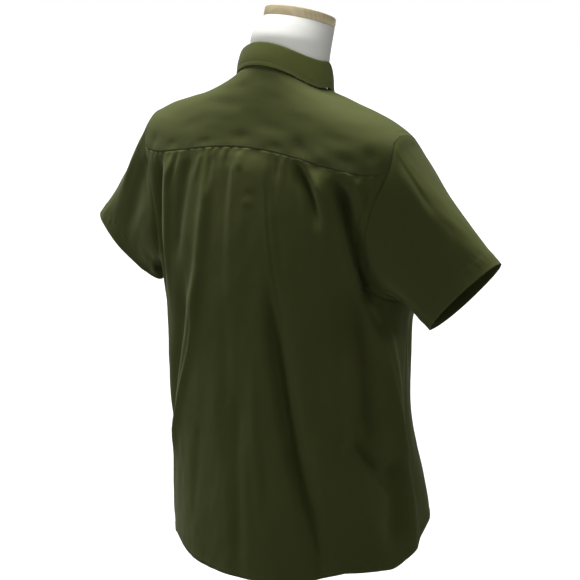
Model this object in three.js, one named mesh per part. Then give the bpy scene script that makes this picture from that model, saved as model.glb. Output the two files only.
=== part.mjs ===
// A short-sleeve work shirt on a limbless dress form.
// Millimetres. The wearer faces -Y, the wearer's left is +X, Z is up and the floor is Z = 0.
// Turn is the angle round the body in degrees: 0 at the centre back, 90 at the wearer's right side,
// -90 at the left side and 180 at the centre front. Level is a row of the body table, with a fraction.

import * as THREE from 'three';

// Driving sizes of the cloth
const clothWall = 1.4;
const collarWall = 1.6;
const seamInset = 0.17;
const armholeInset = 0.6;
const sleeveInset = 1.6;
const lapClear = 0.5;

// Driving sizes of the shirt
const sideSeamTurn = 97;
const hemBackZ = 164;
const hemSpreadRise = 21;
const hemSpreadTurn = 52;
const hemLeftRise = 9;
const hemSideRise = 56;
const hemRiseStart = 78; // turns between which the hem rises at the side
const hemRiseEnd = 116;
const hemFrontDrop = 34;
const frontOverlapTurn = 7;
const frontYokeTurn = 125;
const neckLevel = 10;
const underarmLevel = 4;
const yokeBackLevel = 7;
const yokeDropLevel = 0.7;
const yokeFlatTurn = 60;

// The body of the shirt, a row for each level from below the hem up to the neckline.
// rightX and leftX are the reach to the wearer's right and left. The other columns say where the
// ring crosses the sides, the centre back and the centre front.
const bodyLevels = [
  { rightX: 188, leftX: 186, sideY: 0, backY: 127, frontY: -138, sideZ: 140, backZ: 140, frontZ: 140 },
  { rightX: 188, leftX: 189, sideY: 0, backY: 126, frontY: -134, sideZ: 280, backZ: 280, frontZ: 280 },
  { rightX: 187, leftX: 195, sideY: 0, backY: 125, frontY: -131, sideZ: 400, backZ: 400, frontZ: 400 },
  { rightX: 188, leftX: 198, sideY: 0, backY: 124, frontY: -129, sideZ: 500, backZ: 500, frontZ: 500 },
  { rightX: 194, leftX: 208, sideY: 2, backY: 124, frontY: -128, sideZ: 572, backZ: 572, frontZ: 572 },
  { rightX: 211, leftX: 223, sideY: 12, backY: 121, frontY: -122, sideZ: 665, backZ: 655, frontZ: 645 },
  { rightX: 223, leftX: 233, sideY: 24, backY: 113, frontY: -112, sideZ: 742, backZ: 725, frontZ: 690 },
  { rightX: 220, leftX: 226, sideY: 28, backY: 102, frontY: -99, sideZ: 789, backZ: 779, frontZ: 733 },
  { rightX: 182, leftX: 184, sideY: 24, backY: 91, frontY: -86, sideZ: 818, backZ: 822, frontZ: 768 },
  { rightX: 117, leftX: 121, sideY: 13, backY: 80, frontY: -68, sideZ: 839, backZ: 860, frontZ: 784 },
  { rightX: 62, leftX: 69, sideY: 8, backY: 68, frontY: -50, sideZ: 856, backZ: 893, frontZ: 800 },
];

// The armhole seam of the right side, from the underarm up the back, over the shoulder and down the front.
const armhole = [
  { turn: sideSeamTurn, level: underarmLevel },
  { turn: 67, level: 4.25 },
  { turn: 57, level: 4.85 },
  { turn: 57.5, level: 5.6 },
  { turn: 64.5, level: 6.3 },
  { turn: 70, level: 7.0 },
  { turn: 77, level: 7.35 },
  { turn: 90, level: 7.5 },
  { turn: 105, level: 7.3 },
  { turn: 112, level: 6.9 },
  { turn: 119, level: 6.2 },
  { turn: 122, level: 5.5 },
  { turn: 119, level: 4.8 },
  { turn: 110, level: 4.25 },
];
const yokeBackKnot = 4;
const shoulderKnot = 7;
const yokeFrontKnot = 9;
const samplesPerKnot = 2;

// Folds of the body, from the top down: ridges have a height above nought and troughs one below it.
// Each runs through three places, given as a turn and a height, and has a half width across.
const folds = [
  { turnA: 37, zA: 775, turnB: 50, zB: 657, turnC: 70, zC: 560, width: 15, height: -19 },
  { turnA: 42, zA: 710, turnB: 57, zB: 590, turnC: 83, zC: 430, width: 14, height: 8 },
  { turnA: 70, zA: 545, turnB: 88, zB: 400, turnC: 96, zC: 60, width: 12, height: 10 },
  { turnA: 18, zA: 782, turnB: 26, zB: 735, turnC: 37, zC: 660, width: 12, height: -9 },
  { turnA: 29, zA: 780, turnB: 33, zB: 720, turnC: 38, zC: 640, width: 11, height: 5 },
  { turnA: 17, zA: 570, turnB: 24, zB: 380, turnC: 52, zC: 90, width: 16, height: -11 },
  { turnA: 60, zA: 570, turnB: 61, zB: 450, turnC: 66, zC: 345, width: 26, height: -18 },
  { turnA: 50, zA: 380, turnB: 68, zB: 337, turnC: 95, zC: 308, width: 17, height: -8 },
  { turnA: 83, zA: 350, turnB: 84, zB: 285, turnC: 76, zC: 190, width: 18, height: -9 },
  { turnA: 32, zA: 395, turnB: 56, zB: 296, turnC: 92, zC: 160, width: 20, height: 7 },
  { turnA: -20, zA: 620, turnB: -38, zB: 430, turnC: -60, zC: 290, width: 12, height: 8 },
  { turnA: -30, zA: 610, turnB: -49, zB: 430, turnC: -72, zC: 270, width: 14, height: -9 },
  { turnA: -44, zA: 770, turnB: -50, zB: 680, turnC: -62, zC: 520, width: 9, height: -8 },
  { turnA: -37, zA: 770, turnB: -41, zB: 670, turnC: -50, zC: 520, width: 8, height: 5 },
  { turnA: -26, zA: 775, turnB: -30, zB: 690, turnC: -38, zC: 590, width: 9, height: -5 },
  { turnA: -15, zA: 760, turnB: -20, zB: 620, turnC: -28, zC: 500, width: 9, height: 5 },
  { turnA: -61, zA: 760, turnB: -64, zB: 690, turnC: -68, zC: 600, width: 9, height: -6 },
  { turnA: -1, zA: 450, turnB: -1, zB: 300, turnC: 0, zC: 100, width: 12, height: -4 },
  { turnA: -84, zA: 540, turnB: -90, zB: 380, turnC: -93, zC: 60, width: 16, height: 7 },
  { turnA: -108, zA: 520, turnB: -112, zB: 380, turnC: -116, zC: 60, width: 22, height: 8 },
  { turnA: 128, zA: 670, turnB: 134, zB: 450, turnC: 142, zC: 60, width: 17, height: -8 },
  { turnA: 150, zA: 620, turnB: 152, zB: 420, turnC: 152, zC: 60, width: 18, height: 6 },
  { turnA: -122, zA: 670, turnB: -129, zB: 440, turnC: -134, zC: 60, width: 17, height: -9 },
  { turnA: -146, zA: 640, turnB: -149, zB: 420, turnC: -152, zC: 60, width: 18, height: 6 },
];
const foldSteps = 8;
const foldStart = 0.2;
const foldEnd = 0.3;
const foldSeamEase = 0.35;

// The lower edge flares on the right, a little in front of the side.
const flare = { turn: 117, topZ: 425, lowZ: 205, width: 62, height: 30 };

// The box pleat of the back: a flat band that stands out and opens out below its tack.
const pleat = { topLeft: -5, topRight: 9, lowLeft: -7, lowRight: 23, topZ: 779, tackZ: 700, lowZ: 510 };
const pleatRise = 3.5;
const pleatEdge = 2;

// The opening of each sleeve at its hem, a slanting oval. x is its distance from the middle.
const sleeveHems = {
  right: { x: 294, y: 5, z: 588, slant: 45, long: 73, short: 32, leaveOver: 0.45 },
  left: { x: 284, y: 5, z: 594.5, slant: 50.7, long: 71, short: 28, leaveOver: 0.36 },
};

// How a sleeve leaves its armhole under the arm, and how squarely it meets its hem.
const sleeveLeave = { under: 0.95, underDown: 0.3, overDown: 0.78, arrive: 0.4 };

// Folds of the sleeves, by the angle from the shoulder over the back, along a part of the length.
const sleeveFolds = [
  { angle: 96, from: -0.3, to: 0.75, width: 17, height: -5 },
  { angle: 132, from: -0.2, to: 0.9, width: 15, height: 4 },
  { angle: 158, from: -0.3, to: 0.7, width: 16, height: -5 },
  { angle: -80, from: -0.3, to: 0.7, width: 20, height: -4 },
  { angle: -140, from: -0.3, to: 0.7, width: 18, height: -5 },
];

// Collar
const standHeight = 24;
const standRightRise = 9; // the stand is higher at the sides than at the back
const standLeftRise = 3;
const standFrontHeight = 16;
const standLean = 14;
const standSeamClear = 1.15;
const leafSeamClear = 0.7;
const leafEndTurn = 171;
const leafPointTurn = 148;
const leafFallTurn = 112;
const leafBackDrop = 3.5;
const leafPointDrop = 46;
const leafClear = 0.45;

// Buttons down the front and one on the stand
const buttonHeights = [772, 686, 600, 514, 428, 342];
const button = { radius: 5.6, thickness: 2.4, rim: 1.6, dish: 0.6 };
const buttonClear = 0.35;

// The dress form
const formEndZ = 240;
const formClear = 1.6;
const formNeckClear = 3;
const formFrontClear = 8;
const formSlim = 26;
const formArm = 17;
const formRings = [0.72, 1.4, 2.2, 3, 3.8, 4.6, 5.4, 6.2, 6.9, 7.5, 8.1, 8.7, 9.2, 9.6];
const formColumns = 32;
const neckRings = [
  { y: 6, z: 852, radius: 55.5, lean: 27 },
  { y: 4, z: 873, radius: 56, lean: 26 },
  { y: 1, z: 895, radius: 57, lean: 24 },
  { y: -2, z: 911, radius: 57, lean: 22 },
  { y: -11, z: 926, radius: 54.5, lean: 20 },
  { y: -22, z: 940, radius: 51, lean: 18.7 },
];
const cap = { radius: 51, thickness: 14, edge: 1.5, crown: 1 };
const pole = { radius: 16, clear: 0.3 };
const base = { radius: 165, thickness: 12, edge: 3 };

// How finely the pieces are divided
const sideSeamRows = 14;
const backColumns = 44;
const yokeColumns = 20;
const yokeRows = 5;
const frontColumns = 12;
const sleeveRows = 8;
const collarColumns = 36;
const backFade = 0.35;
const frontFade = 0.7;
const standRows = 2;
const leafRows = 8;

// General helpers

const radians = THREE.MathUtils.degToRad;

function mix(a, b, part) {
  return a + (b - a) * part;
}

function smooth(low, high, value) {
  return THREE.MathUtils.smoothstep(value, low, high);
}

function bump(distance, width) {
  return Math.exp(-((distance / width) ** 2));
}

function evenly(count, place) {
  return Array.from({ length: count + 1 }, (unused, index) => place(index / count));
}

// A smooth curve through a column of a table, at a row number with a fraction.
function along(rows, column, at) {
  const place = THREE.MathUtils.clamp(at, 0, rows.length - 1);
  const row = Math.min(Math.floor(place), rows.length - 2);
  const part = place - row;
  const value = (index) => rows[THREE.MathUtils.clamp(index, 0, rows.length - 1)][column];
  const start = value(row);
  const end = value(row + 1);
  const leave = (end - value(row - 1)) / 2;
  const arrive = (value(row + 2) - start) / 2;
  const squared = part * part;
  const cubed = squared * part;
  return start * (2 * cubed - 3 * squared + 1) + leave * (cubed - 2 * squared + part)
    + end * (3 * squared - 2 * cubed) + arrive * (cubed - squared);
}

// The same for a table that closes on itself.
function alongRing(rows, column, at) {
  const count = rows.length;
  const row = Math.floor(at);
  const near = [-1, 0, 1, 2].map((step) => rows[(row + step + count) % count]);
  return along(near, column, 1 + at - row);
}

// The body of the shirt

function bodyPoint(turn, level) {
  const across = Math.sin(radians(turn));
  const back = Math.cos(radians(turn));
  const sideY = along(bodyLevels, 'sideY', level);
  const sideZ = along(bodyLevels, 'sideZ', level);
  const end = back > 0 ? 'back' : 'front';
  const endY = along(bodyLevels, `${end}Y`, level);
  const endZ = along(bodyLevels, `${end}Z`, level);
  return new THREE.Vector3(
    -along(bodyLevels, across > 0 ? 'rightX' : 'leftX', level) * across,
    sideY + (endY - sideY) * Math.abs(back),
    sideZ + (endZ - sideZ) * back * back,
  );
}

// The level at which the body has a given height.
function levelAt(turn, z) {
  let low = 0;
  let high = neckLevel;
  for (let step = 0; step < 24; step += 1) {
    const middle = (low + high) / 2;
    if (bodyPoint(turn, middle).z < z) low = middle;
    else high = middle;
  }
  return (low + high) / 2;
}

function surfaceNormal(surface, turn, level) {
  const before = Math.max(level - 0.01, 0);
  const after = Math.min(level + 0.01, neckLevel);
  const across = surface(turn + 0.5, level).sub(surface(turn - 0.5, level));
  const up = surface(turn, after).sub(surface(turn, before));
  return across.cross(up).normalize();
}

// Distance round the chest from the centre back, for each whole degree of turn.
const chest = { halfWidth: 190, halfDepth: 127 };
const chestRun = [0];
for (let turn = 1; turn <= 200; turn += 1) {
  const angle = radians(turn - 0.5);
  const perRadian = Math.hypot(chest.halfWidth * Math.cos(angle), chest.halfDepth * Math.sin(angle));
  chestRun.push(chestRun[turn - 1] + radians(perRadian));
}

function runAt(turn) {
  const far = Math.abs(turn);
  const whole = Math.floor(far);
  return Math.sign(turn) * mix(chestRun[whole], chestRun[whole + 1], far - whole);
}

// Each fold as a run of short straight lines on the cloth laid flat.
const foldLines = folds.map((fold) => {
  const start = new THREE.Vector2(runAt(fold.turnA), fold.zA);
  const middle = new THREE.Vector2(runAt(fold.turnB), fold.zB);
  const end = new THREE.Vector2(runAt(fold.turnC), fold.zC);
  const handle = middle.clone().multiplyScalar(2).sub(start.clone().add(end).multiplyScalar(0.5));
  const curve = new THREE.QuadraticBezierCurve(start, handle, end);
  return { ...fold, line: curve.getPoints(foldSteps) };
});

function foldShift(turn, z) {
  const place = new THREE.Vector2(runAt(turn), z);
  let shift = 0;
  for (const { line, width, height } of foldLines) {
    let nearest = Infinity;
    let at = 0;
    for (let step = 0; step < foldSteps; step += 1) {
      const piece = line[step + 1].clone().sub(line[step]);
      const part = THREE.MathUtils.clamp(place.clone().sub(line[step]).dot(piece) / piece.lengthSq(), 0, 1);
      const distance = place.distanceTo(line[step].clone().addScaledVector(piece, part));
      if (distance < nearest) {
        nearest = distance;
        at = (step + part) / foldSteps;
      }
    }
    shift += height * bump(nearest, width) * smooth(0, foldStart, at) * (1 - smooth(1 - foldEnd, 1, at));
  }
  return shift;
}

function pleatShift(turn, z) {
  const low = THREE.MathUtils.clamp((pleat.topZ - z) / (pleat.topZ - pleat.lowZ), 0, 1);
  const left = mix(pleat.topLeft, pleat.lowLeft, low);
  const right = mix(pleat.topRight, pleat.lowRight, low);
  const inside = smooth(left - pleatEdge, left + pleatEdge, turn)
    * (1 - smooth(right - pleatEdge, right + pleatEdge, turn));
  return pleatRise * inside * smooth(pleat.lowZ, pleat.tackZ, z);
}

function flareShift(turn, z) {
  const grown = 1 - smooth(flare.lowZ, flare.topZ, z);
  return flare.height * grown * bump(runAt(turn) - runAt(flare.turn), flare.width);
}

function yokeLevel(turn) {
  const part = Math.min(Math.abs(turn) / yokeFlatTurn, 1);
  return yokeBackLevel - yokeDropLevel * (1 - Math.cos(Math.PI * part)) / 2;
}

// The cloth of the body, with its folds, which die out at the yoke.
function clothPoint(turn, level) {
  const point = bodyPoint(turn, level);
  const below = smooth(0, foldSeamEase, yokeLevel(turn) - level);
  if (below === 0) return point;
  const shift = foldShift(turn, point.z) + pleatShift(turn, point.z) + flareShift(turn, point.z);
  return point.addScaledVector(surfaceNormal(bodyPoint, turn, level), shift * below);
}

function hemLevel(turn) {
  const far = Math.abs(turn) > 180 ? 360 - Math.abs(turn) : Math.abs(turn);
  const spread = hemSpreadRise * Math.min(far / hemSpreadTurn, 1) ** 2;
  const left = hemLeftRise * smooth(25, 60, -turn) * (1 - smooth(110, 170, -turn));
  const side = hemSideRise * smooth(hemRiseStart, hemRiseEnd, far);
  return levelAt(turn, hemBackZ + spread + left + side - hemFrontDrop * smooth(125, 180, far));
}

// Places on the body as turn and level

function mirrored(places) {
  return places.map((place) => ({ turn: -place.turn, level: place.level }));
}

function armholeRun(firstKnot, lastKnot) {
  return evenly((lastKnot - firstKnot) * samplesPerKnot, (part) => {
    const at = mix(firstKnot, lastKnot, part) % armhole.length;
    return { turn: alongRing(armhole, 'turn', at), level: alongRing(armhole, 'level', at) };
  });
}

function sideSeam() {
  const hem = hemLevel(sideSeamTurn);
  return evenly(sideSeamRows, (part) => ({ turn: sideSeamTurn, level: mix(hem, underarmLevel, part) }));
}

function frontYokeSeam(part) {
  const start = armhole[yokeFrontKnot];
  return { turn: mix(start.turn, frontYokeTurn, part), level: mix(start.level, neckLevel, part) };
}

// How far up each row of a panel lies: midway between even rows and those of its side edge.
function rowShares(side) {
  const rows = side.length - 1;
  const rise = side[rows].level - side[0].level;
  return side.map((place, row) => (row / rows + (place.level - side[0].level) / rise) / 2);
}

// A grid of places between four edges, which share their corners. The pull of the two side edges
// fades over a share of the width.
function fillBetween(bottom, top, left, right, fade) {
  const columns = bottom.length - 1;
  const shares = rowShares(left);
  const place = (column, row, key) => {
    const u = column / columns;
    const plain = (at) => mix(bottom[at][key], top[at][key], shares[row]);
    const nearLeft = (1 - smooth(0, fade, u)) * (left[row][key] - plain(0));
    const nearRight = (1 - smooth(0, fade, 1 - u)) * (right[row][key] - plain(columns));
    return plain(column) + nearLeft + nearRight;
  };
  return bottom.map((unused, column) => left.map((unusedToo, row) => ({
    turn: place(column, row, 'turn'),
    level: place(column, row, 'level'),
  })));
}

// Walls

// Moves the edge points of a grid inwards, square to the edge, so that neighbours stay apart at a seam.
function insetEdges(points, insets) {
  const columns = points.length - 1;
  const rows = points[0].length - 1;
  const moved = points.map((column) => column.map((point) => point.clone()));
  const pull = (column, row, [inColumn, inRow], [alongColumn, alongRow], amount) => {
    const at = points[column][row];
    const ahead = points[Math.min(column + alongColumn, columns)][Math.min(row + alongRow, rows)];
    const behind = points[Math.max(column - alongColumn, 0)][Math.max(row - alongRow, 0)];
    const edge = ahead.clone().sub(behind).normalize();
    const inwards = points[column + inColumn][row + inRow].clone().sub(at);
    inwards.addScaledVector(edge, -inwards.dot(edge)).normalize();
    moved[column][row].addScaledVector(inwards, amount);
  };
  for (let row = 0; row <= rows; row += 1) {
    pull(0, row, [1, 0], [0, 1], insets.left(row));
    pull(columns, row, [-1, 0], [0, 1], insets.right(row));
  }
  for (let column = 0; column <= columns; column += 1) {
    pull(column, 0, [0, 1], [1, 0], insets.bottom);
    pull(column, rows, [0, -1], [1, 0], insets.top);
  }
  return moved;
}

function indexedGeometry(positions, index) {
  const geometry = new THREE.BufferGeometry();
  geometry.setAttribute('position', new THREE.Float32BufferAttribute(positions, 3));
  geometry.setIndex(index);
  geometry.computeVertexNormals();
  return geometry;
}

// A closed wall on a grid of points: the grid moved out and in by half the thickness and joined at its edges.
// middles are places of the true surface amid each four points, by which the better diagonal is chosen.
function wallGeometry(points, normals, thickness, { closed = false, middles = null } = {}) {
  const columns = points.length;
  const rows = points[0].length;
  const positions = [];
  for (const side of [0.5, -0.5]) {
    for (let column = 0; column < columns; column += 1) {
      for (let row = 0; row < rows; row += 1) {
        const normal = normals[column][row];
        positions.push(...points[column][row].clone().addScaledVector(normal, side * thickness));
      }
    }
  }
  const outer = (column, row) => (column % columns) * rows + row;
  const inner = (column, row) => columns * rows + outer(column, row);
  const across = points[1][0].clone().sub(points[0][0]);
  const up = points[0][1].clone().sub(points[0][0]);
  const forward = across.cross(up).dot(normals[0][0]) > 0;
  const index = [];
  const quad = (a, b, c, d) => index.push(...(forward ? [a, b, c, a, c, d] : [a, c, b, a, d, c]));
  const turned = (column, row) => {
    if (!middles) return false;
    const halfway = (a, b) => a.clone().lerp(b, 0.5).distanceTo(middles[column][row]);
    return halfway(points[column + 1][row], points[column][row + 1])
      < halfway(points[column][row], points[column + 1][row + 1]);
  };
  const lastColumn = closed ? columns : columns - 1;
  const lastRow = rows - 1;
  for (let column = 0; column < lastColumn; column += 1) {
    const next = column + 1;
    for (let row = 0; row < lastRow; row += 1) {
      const front = [outer(column, row), outer(next, row), outer(next, row + 1), outer(column, row + 1)];
      const back = [inner(column, row), inner(column, row + 1), inner(next, row + 1), inner(next, row)];
      if (turned(column, row)) {
        front.push(front.shift());
        back.push(back.shift());
      }
      quad(...front);
      quad(...back);
    }
    quad(outer(next, 0), outer(column, 0), inner(column, 0), inner(next, 0));
    quad(outer(column, lastRow), outer(next, lastRow), inner(next, lastRow), inner(column, lastRow));
  }
  for (let row = 0; row < lastRow && !closed; row += 1) {
    quad(outer(0, row), outer(0, row + 1), inner(0, row + 1), inner(0, row));
    quad(outer(lastColumn, row + 1), outer(lastColumn, row), inner(lastColumn, row), inner(lastColumn, row + 1));
  }
  return indexedGeometry(positions, index);
}

function panelGeometry(places, insets, surface = clothPoint) {
  const points = places.map((column) => column.map(({ turn, level }) => surface(turn, level)));
  const normals = places.map((column) => column.map(({ turn, level }) => surfaceNormal(surface, turn, level)));
  const middles = places.slice(1).map((column, index) => column.slice(1).map((place, row) => {
    const corners = [place, column[row], places[index][row], places[index][row + 1]];
    const mean = (key) => corners.reduce((sum, corner) => sum + corner[key], 0) / corners.length;
    return surface(mean('turn'), mean('level'));
  }));
  return wallGeometry(insetEdges(points, insets), normals, clothWall, { middles });
}

// Normals of a grid from its neighbours. outward is a direction on the outside of its first point.
function gridNormals(grid, outward, closed = false) {
  const columns = grid.length;
  const rows = grid[0].length;
  const wrap = (column) => (closed ? (column + columns) % columns : THREE.MathUtils.clamp(column, 0, columns - 1));
  const normals = grid.map((line, column) => line.map((point, row) => {
    const across = grid[wrap(column + 1)][row].clone().sub(grid[wrap(column - 1)][row]);
    const up = line[Math.min(row + 1, rows - 1)].clone().sub(line[Math.max(row - 1, 0)]);
    return across.cross(up).normalize();
  }));
  const flip = normals[0][0].dot(outward) < 0 ? -1 : 1;
  return normals.map((line) => line.map((normal) => normal.multiplyScalar(flip)));
}

// A solid on a stack of rings, closed by a flat fan at each end.
function stackGeometry(rings) {
  const count = rings[0].length;
  const positions = rings.flat().flatMap((point) => [...point]);
  const ends = [rings[0], rings[rings.length - 1]].map((ring) => ring
    .reduce((sum, point) => sum.add(point), new THREE.Vector3()).divideScalar(count));
  ends.forEach((point) => positions.push(...point));
  const low = rings.length * count;
  const index = [];
  for (let column = 0; column < count; column += 1) {
    const next = (column + 1) % count;
    for (let row = 0; row < rings.length - 1; row += 1) {
      const a = row * count + column;
      const b = row * count + next;
      index.push(a, b, b + count, a, b + count, a + count);
    }
    const top = (rings.length - 1) * count;
    index.push(low, next, column, low + 1, top + column, top + next);
  }
  return indexedGeometry(positions, index);
}

// Materials

const shirtCloth = () => new THREE.MeshStandardMaterial({ color: 0x3f442a, roughness: 0.92, metalness: 0 });
const buttonPlastic = () => new THREE.MeshStandardMaterial({ color: 0x3a3d2a, roughness: 0.35, metalness: 0 });
const formCloth = () => new THREE.MeshStandardMaterial({ color: 0xe8e6de, roughness: 0.8, metalness: 0 });
const paleWood = () => new THREE.MeshStandardMaterial({ color: 0xdccfa4, roughness: 0.55, metalness: 0 });
const standPaint = () => new THREE.MeshStandardMaterial({ color: 0xe4e3df, roughness: 0.45, metalness: 0.1 });

const shirtOnForm = new THREE.Group();

function add(name, geometry, material) {
  const mesh = new THREE.Mesh(geometry, material);
  mesh.name = name;
  shirtOnForm.add(mesh);
  return mesh;
}

// Back panel

function backPanel() {
  const right = [...sideSeam(), ...armholeRun(0, yokeBackKnot).slice(1)];
  const yokeEnd = armhole[yokeBackKnot].turn;
  const across = (reach) => evenly(backColumns, (part) => mix(-reach, reach, part));
  const bottom = across(sideSeamTurn).map((turn) => ({ turn, level: hemLevel(turn) }));
  const top = across(yokeEnd).map((turn) => ({ turn, level: yokeLevel(turn) }));
  const sideInset = (row) => (row < sideSeamRows ? seamInset : armholeInset);
  return panelGeometry(fillBetween(bottom, top, mirrored(right), right, backFade), {
    left: sideInset,
    right: sideInset,
    bottom: 0,
    top: seamInset,
  });
}

// Yoke: it runs round the neck, from the front seam of one shoulder to that of the other.

function yoke() {
  const overShoulder = armholeRun(yokeBackKnot, yokeFrontKnot);
  const yokeEnd = armhole[yokeBackKnot].turn;
  const backSeam = evenly(yokeColumns, (part) => {
    const turn = mix(-yokeEnd, yokeEnd, part);
    return { turn, level: yokeLevel(turn) };
  });
  const outside = [...mirrored(overShoulder).reverse(), ...backSeam.slice(1, -1), ...overShoulder];
  const neckline = evenly(outside.length - 1, (part) => ({
    turn: mix(-frontYokeTurn, frontYokeTurn, part),
    level: neckLevel,
  }));
  const right = evenly(yokeRows, frontYokeSeam);
  return panelGeometry(fillBetween(outside, neckline, mirrored(right), right, backFade), {
    left: () => seamInset,
    right: () => seamInset,
    bottom: armholeInset,
    top: armholeInset,
  });
}

// Fronts: side is 1 for the wearer's right, which lies under, and -1 for the left.

function sunkFrontPoint(turn, level) {
  const start = 180 - 2.4 * frontOverlapTurn;
  const end = 180 - 1.4 * frontOverlapTurn;
  const sunk = (clothWall + lapClear) * smooth(start, end, turn);
  return clothPoint(turn, level).addScaledVector(surfaceNormal(clothPoint, turn, level), -sunk);
}

function front(side) {
  const edgeTurn = 180 + frontOverlapTurn;
  const armholeEdge = armholeRun(yokeFrontKnot, armhole.length).reverse();
  const seamSide = [...sideSeam(), ...armholeEdge.slice(1), ...evenly(yokeRows, frontYokeSeam).slice(1)];
  const hem = evenly(frontColumns, (part) => {
    const turn = mix(sideSeamTurn, edgeTurn, part);
    return { turn, level: hemLevel(turn) };
  });
  const neckline = evenly(frontColumns, (part) => ({
    turn: mix(frontYokeTurn, edgeTurn, part),
    level: neckLevel,
  }));
  const edge = rowShares(seamSide).map((share) => ({
    turn: edgeTurn,
    level: mix(hem[frontColumns].level, neckLevel, share),
  }));
  const places = fillBetween(hem, neckline, seamSide, edge, frontFade);
  const yokeRow = seamSide.length - 1 - yokeRows;
  const insets = {
    left: (row) => (row < sideSeamRows || row > yokeRow ? seamInset : armholeInset),
    right: () => 0,
    bottom: 0,
    top: armholeInset,
  };
  if (side > 0) return panelGeometry(places, insets, sunkFrontPoint);
  return panelGeometry(places.map(mirrored), insets);
}

// Sleeves

function sleeveFoldShift(angle, part) {
  const degrees = THREE.MathUtils.radToDeg(angle);
  return sleeveFolds.reduce((shift, fold) => {
    const middle = (fold.from + fold.to) / 2;
    const reach = (fold.to - fold.from) / 2;
    const inside = 1 - smooth(0.4, 1, Math.abs(part - middle) / reach);
    return shift + fold.height * inside * bump(degrees - fold.angle, fold.width) * smooth(0, 0.15, part);
  }, 0);
}

function sleeve(side, hem) {
  const slant = radians(hem.slant);
  const out = -side;
  const longWay = new THREE.Vector3(out * Math.sin(slant), 0, Math.cos(slant));
  const outwards = new THREE.Vector3(out * Math.cos(slant), 0, -Math.sin(slant));
  const centre = new THREE.Vector3(out * hem.x, hem.y, hem.z);
  const ring = armholeRun(0, armhole.length).slice(0, -1);
  const count = ring.length;
  const top = shoulderKnot * samplesPerKnot;
  const angles = ring.map((unused, index) => (index <= top
    ? Math.PI * (1 - index / top)
    : -Math.PI * (index - top) / (count - top)));
  const grid = ring.map((place, index) => {
    const angle = angles[index];
    const start = clothPoint(side * place.turn, place.level);
    const end = centre.clone()
      .addScaledVector(longWay, hem.long * Math.cos(angle))
      .addScaledVector(new THREE.Vector3(0, 1, 0), hem.short * Math.sin(angle));
    const reach = start.distanceTo(end) / 3;
    const overTop = (1 + Math.cos(angle)) / 2;
    const leave = new THREE.Vector3(
      out * mix(sleeveLeave.under, hem.leaveOver, overTop),
      0,
      -mix(sleeveLeave.underDown, sleeveLeave.overDown, overTop),
    );
    const curve = new THREE.CubicBezierCurve3(
      start,
      start.clone().addScaledVector(leave, reach),
      end.clone().addScaledVector(outwards, -reach * sleeveLeave.arrive),
      end,
    );
    const inset = sleeveInset / start.distanceTo(end);
    return evenly(sleeveRows, (part) => curve.getPoint(mix(inset, 1, part)));
  });
  const outside = grid[0][0].clone().sub(grid[top][0]);
  const smoothNormals = gridNormals(grid, outside, true);
  const folded = grid.map((line, index) => line.map((point, row) => point.clone()
    .addScaledVector(smoothNormals[index][row], sleeveFoldShift(angles[index], row / sleeveRows))));
  return wallGeometry(folded, gridNormals(folded, outside, true), clothWall, { closed: true });
}

// Collar: the stand rises from the neckline, and the leaf folds over it.

const standUp = new THREE.Vector3(0, -Math.sin(radians(standLean)), Math.cos(radians(standLean)));

function standTop(turn) {
  const side = (turn > 0 ? standRightRise : standLeftRise) * Math.sin(radians(turn)) ** 2;
  return mix(standHeight + side, standFrontHeight, smooth(84, 118, Math.abs(turn)));
}

function outFromNeck(turn) {
  return new THREE.Vector3(-Math.sin(radians(turn)), Math.cos(radians(turn)), 0);
}

function collarStand() {
  const end = 180 + frontOverlapTurn;
  const grid = evenly(collarColumns, (part) => {
    const turn = mix(-end, end, part);
    const sunk = (clothWall + lapClear) * smooth(180 - 2.4 * frontOverlapTurn, 180 - 1.4 * frontOverlapTurn, turn);
    const foot = bodyPoint(turn, neckLevel).addScaledVector(outFromNeck(turn), -sunk);
    return evenly(standRows, (rise) => foot.clone().addScaledVector(standUp, mix(standSeamClear, standTop(turn), rise)));
  });
  return wallGeometry(grid, gridNormals(grid, outFromNeck(-end)), clothWall);
}

// A place on the cloth a given way down from the neckline.
function belowNeckline(turn, drop) {
  const neckline = bodyPoint(turn, neckLevel);
  let level = neckLevel;
  while (bodyPoint(turn, level).distanceTo(neckline) < drop) level -= 0.01;
  const lift = (clothWall + collarWall) / 2 + leafClear;
  return bodyPoint(turn, level).addScaledVector(surfaceNormal(bodyPoint, turn, level), lift);
}

function collarLeaf() {
  const grid = evenly(collarColumns, (part) => {
    const topTurn = mix(-leafEndTurn, leafEndTurn, part);
    const lowTurn = mix(-leafPointTurn, leafPointTurn, part);
    const out = outFromNeck(topTurn);
    const above = (up, outward) => bodyPoint(topTurn, neckLevel)
      .addScaledVector(standUp, standTop(topTurn) + leafSeamClear + up)
      .addScaledVector(out, outward);
    const crest = above(3.4, 2.8);
    const drop = mix(leafBackDrop, leafPointDrop, smooth(leafFallTurn, leafPointTurn, Math.abs(lowTurn)));
    const edge = belowNeckline(lowTurn, drop);
    const middle = crest.clone().lerp(edge, 0.5).addScaledVector(out, 1.6);
    const curve = new THREE.CatmullRomCurve3([above(0, 0), above(3, 1), crest, middle, edge], false, 'centripetal');
    return evenly(leafRows, (v) => curve.getPoint(v));
  });
  const insideFirst = outFromNeck(-leafEndTurn).negate();
  return wallGeometry(grid, gridNormals(grid, insideFirst), collarWall);
}

// Buttons: flat discs with a raised rim, turned to stand on the cloth.

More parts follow.
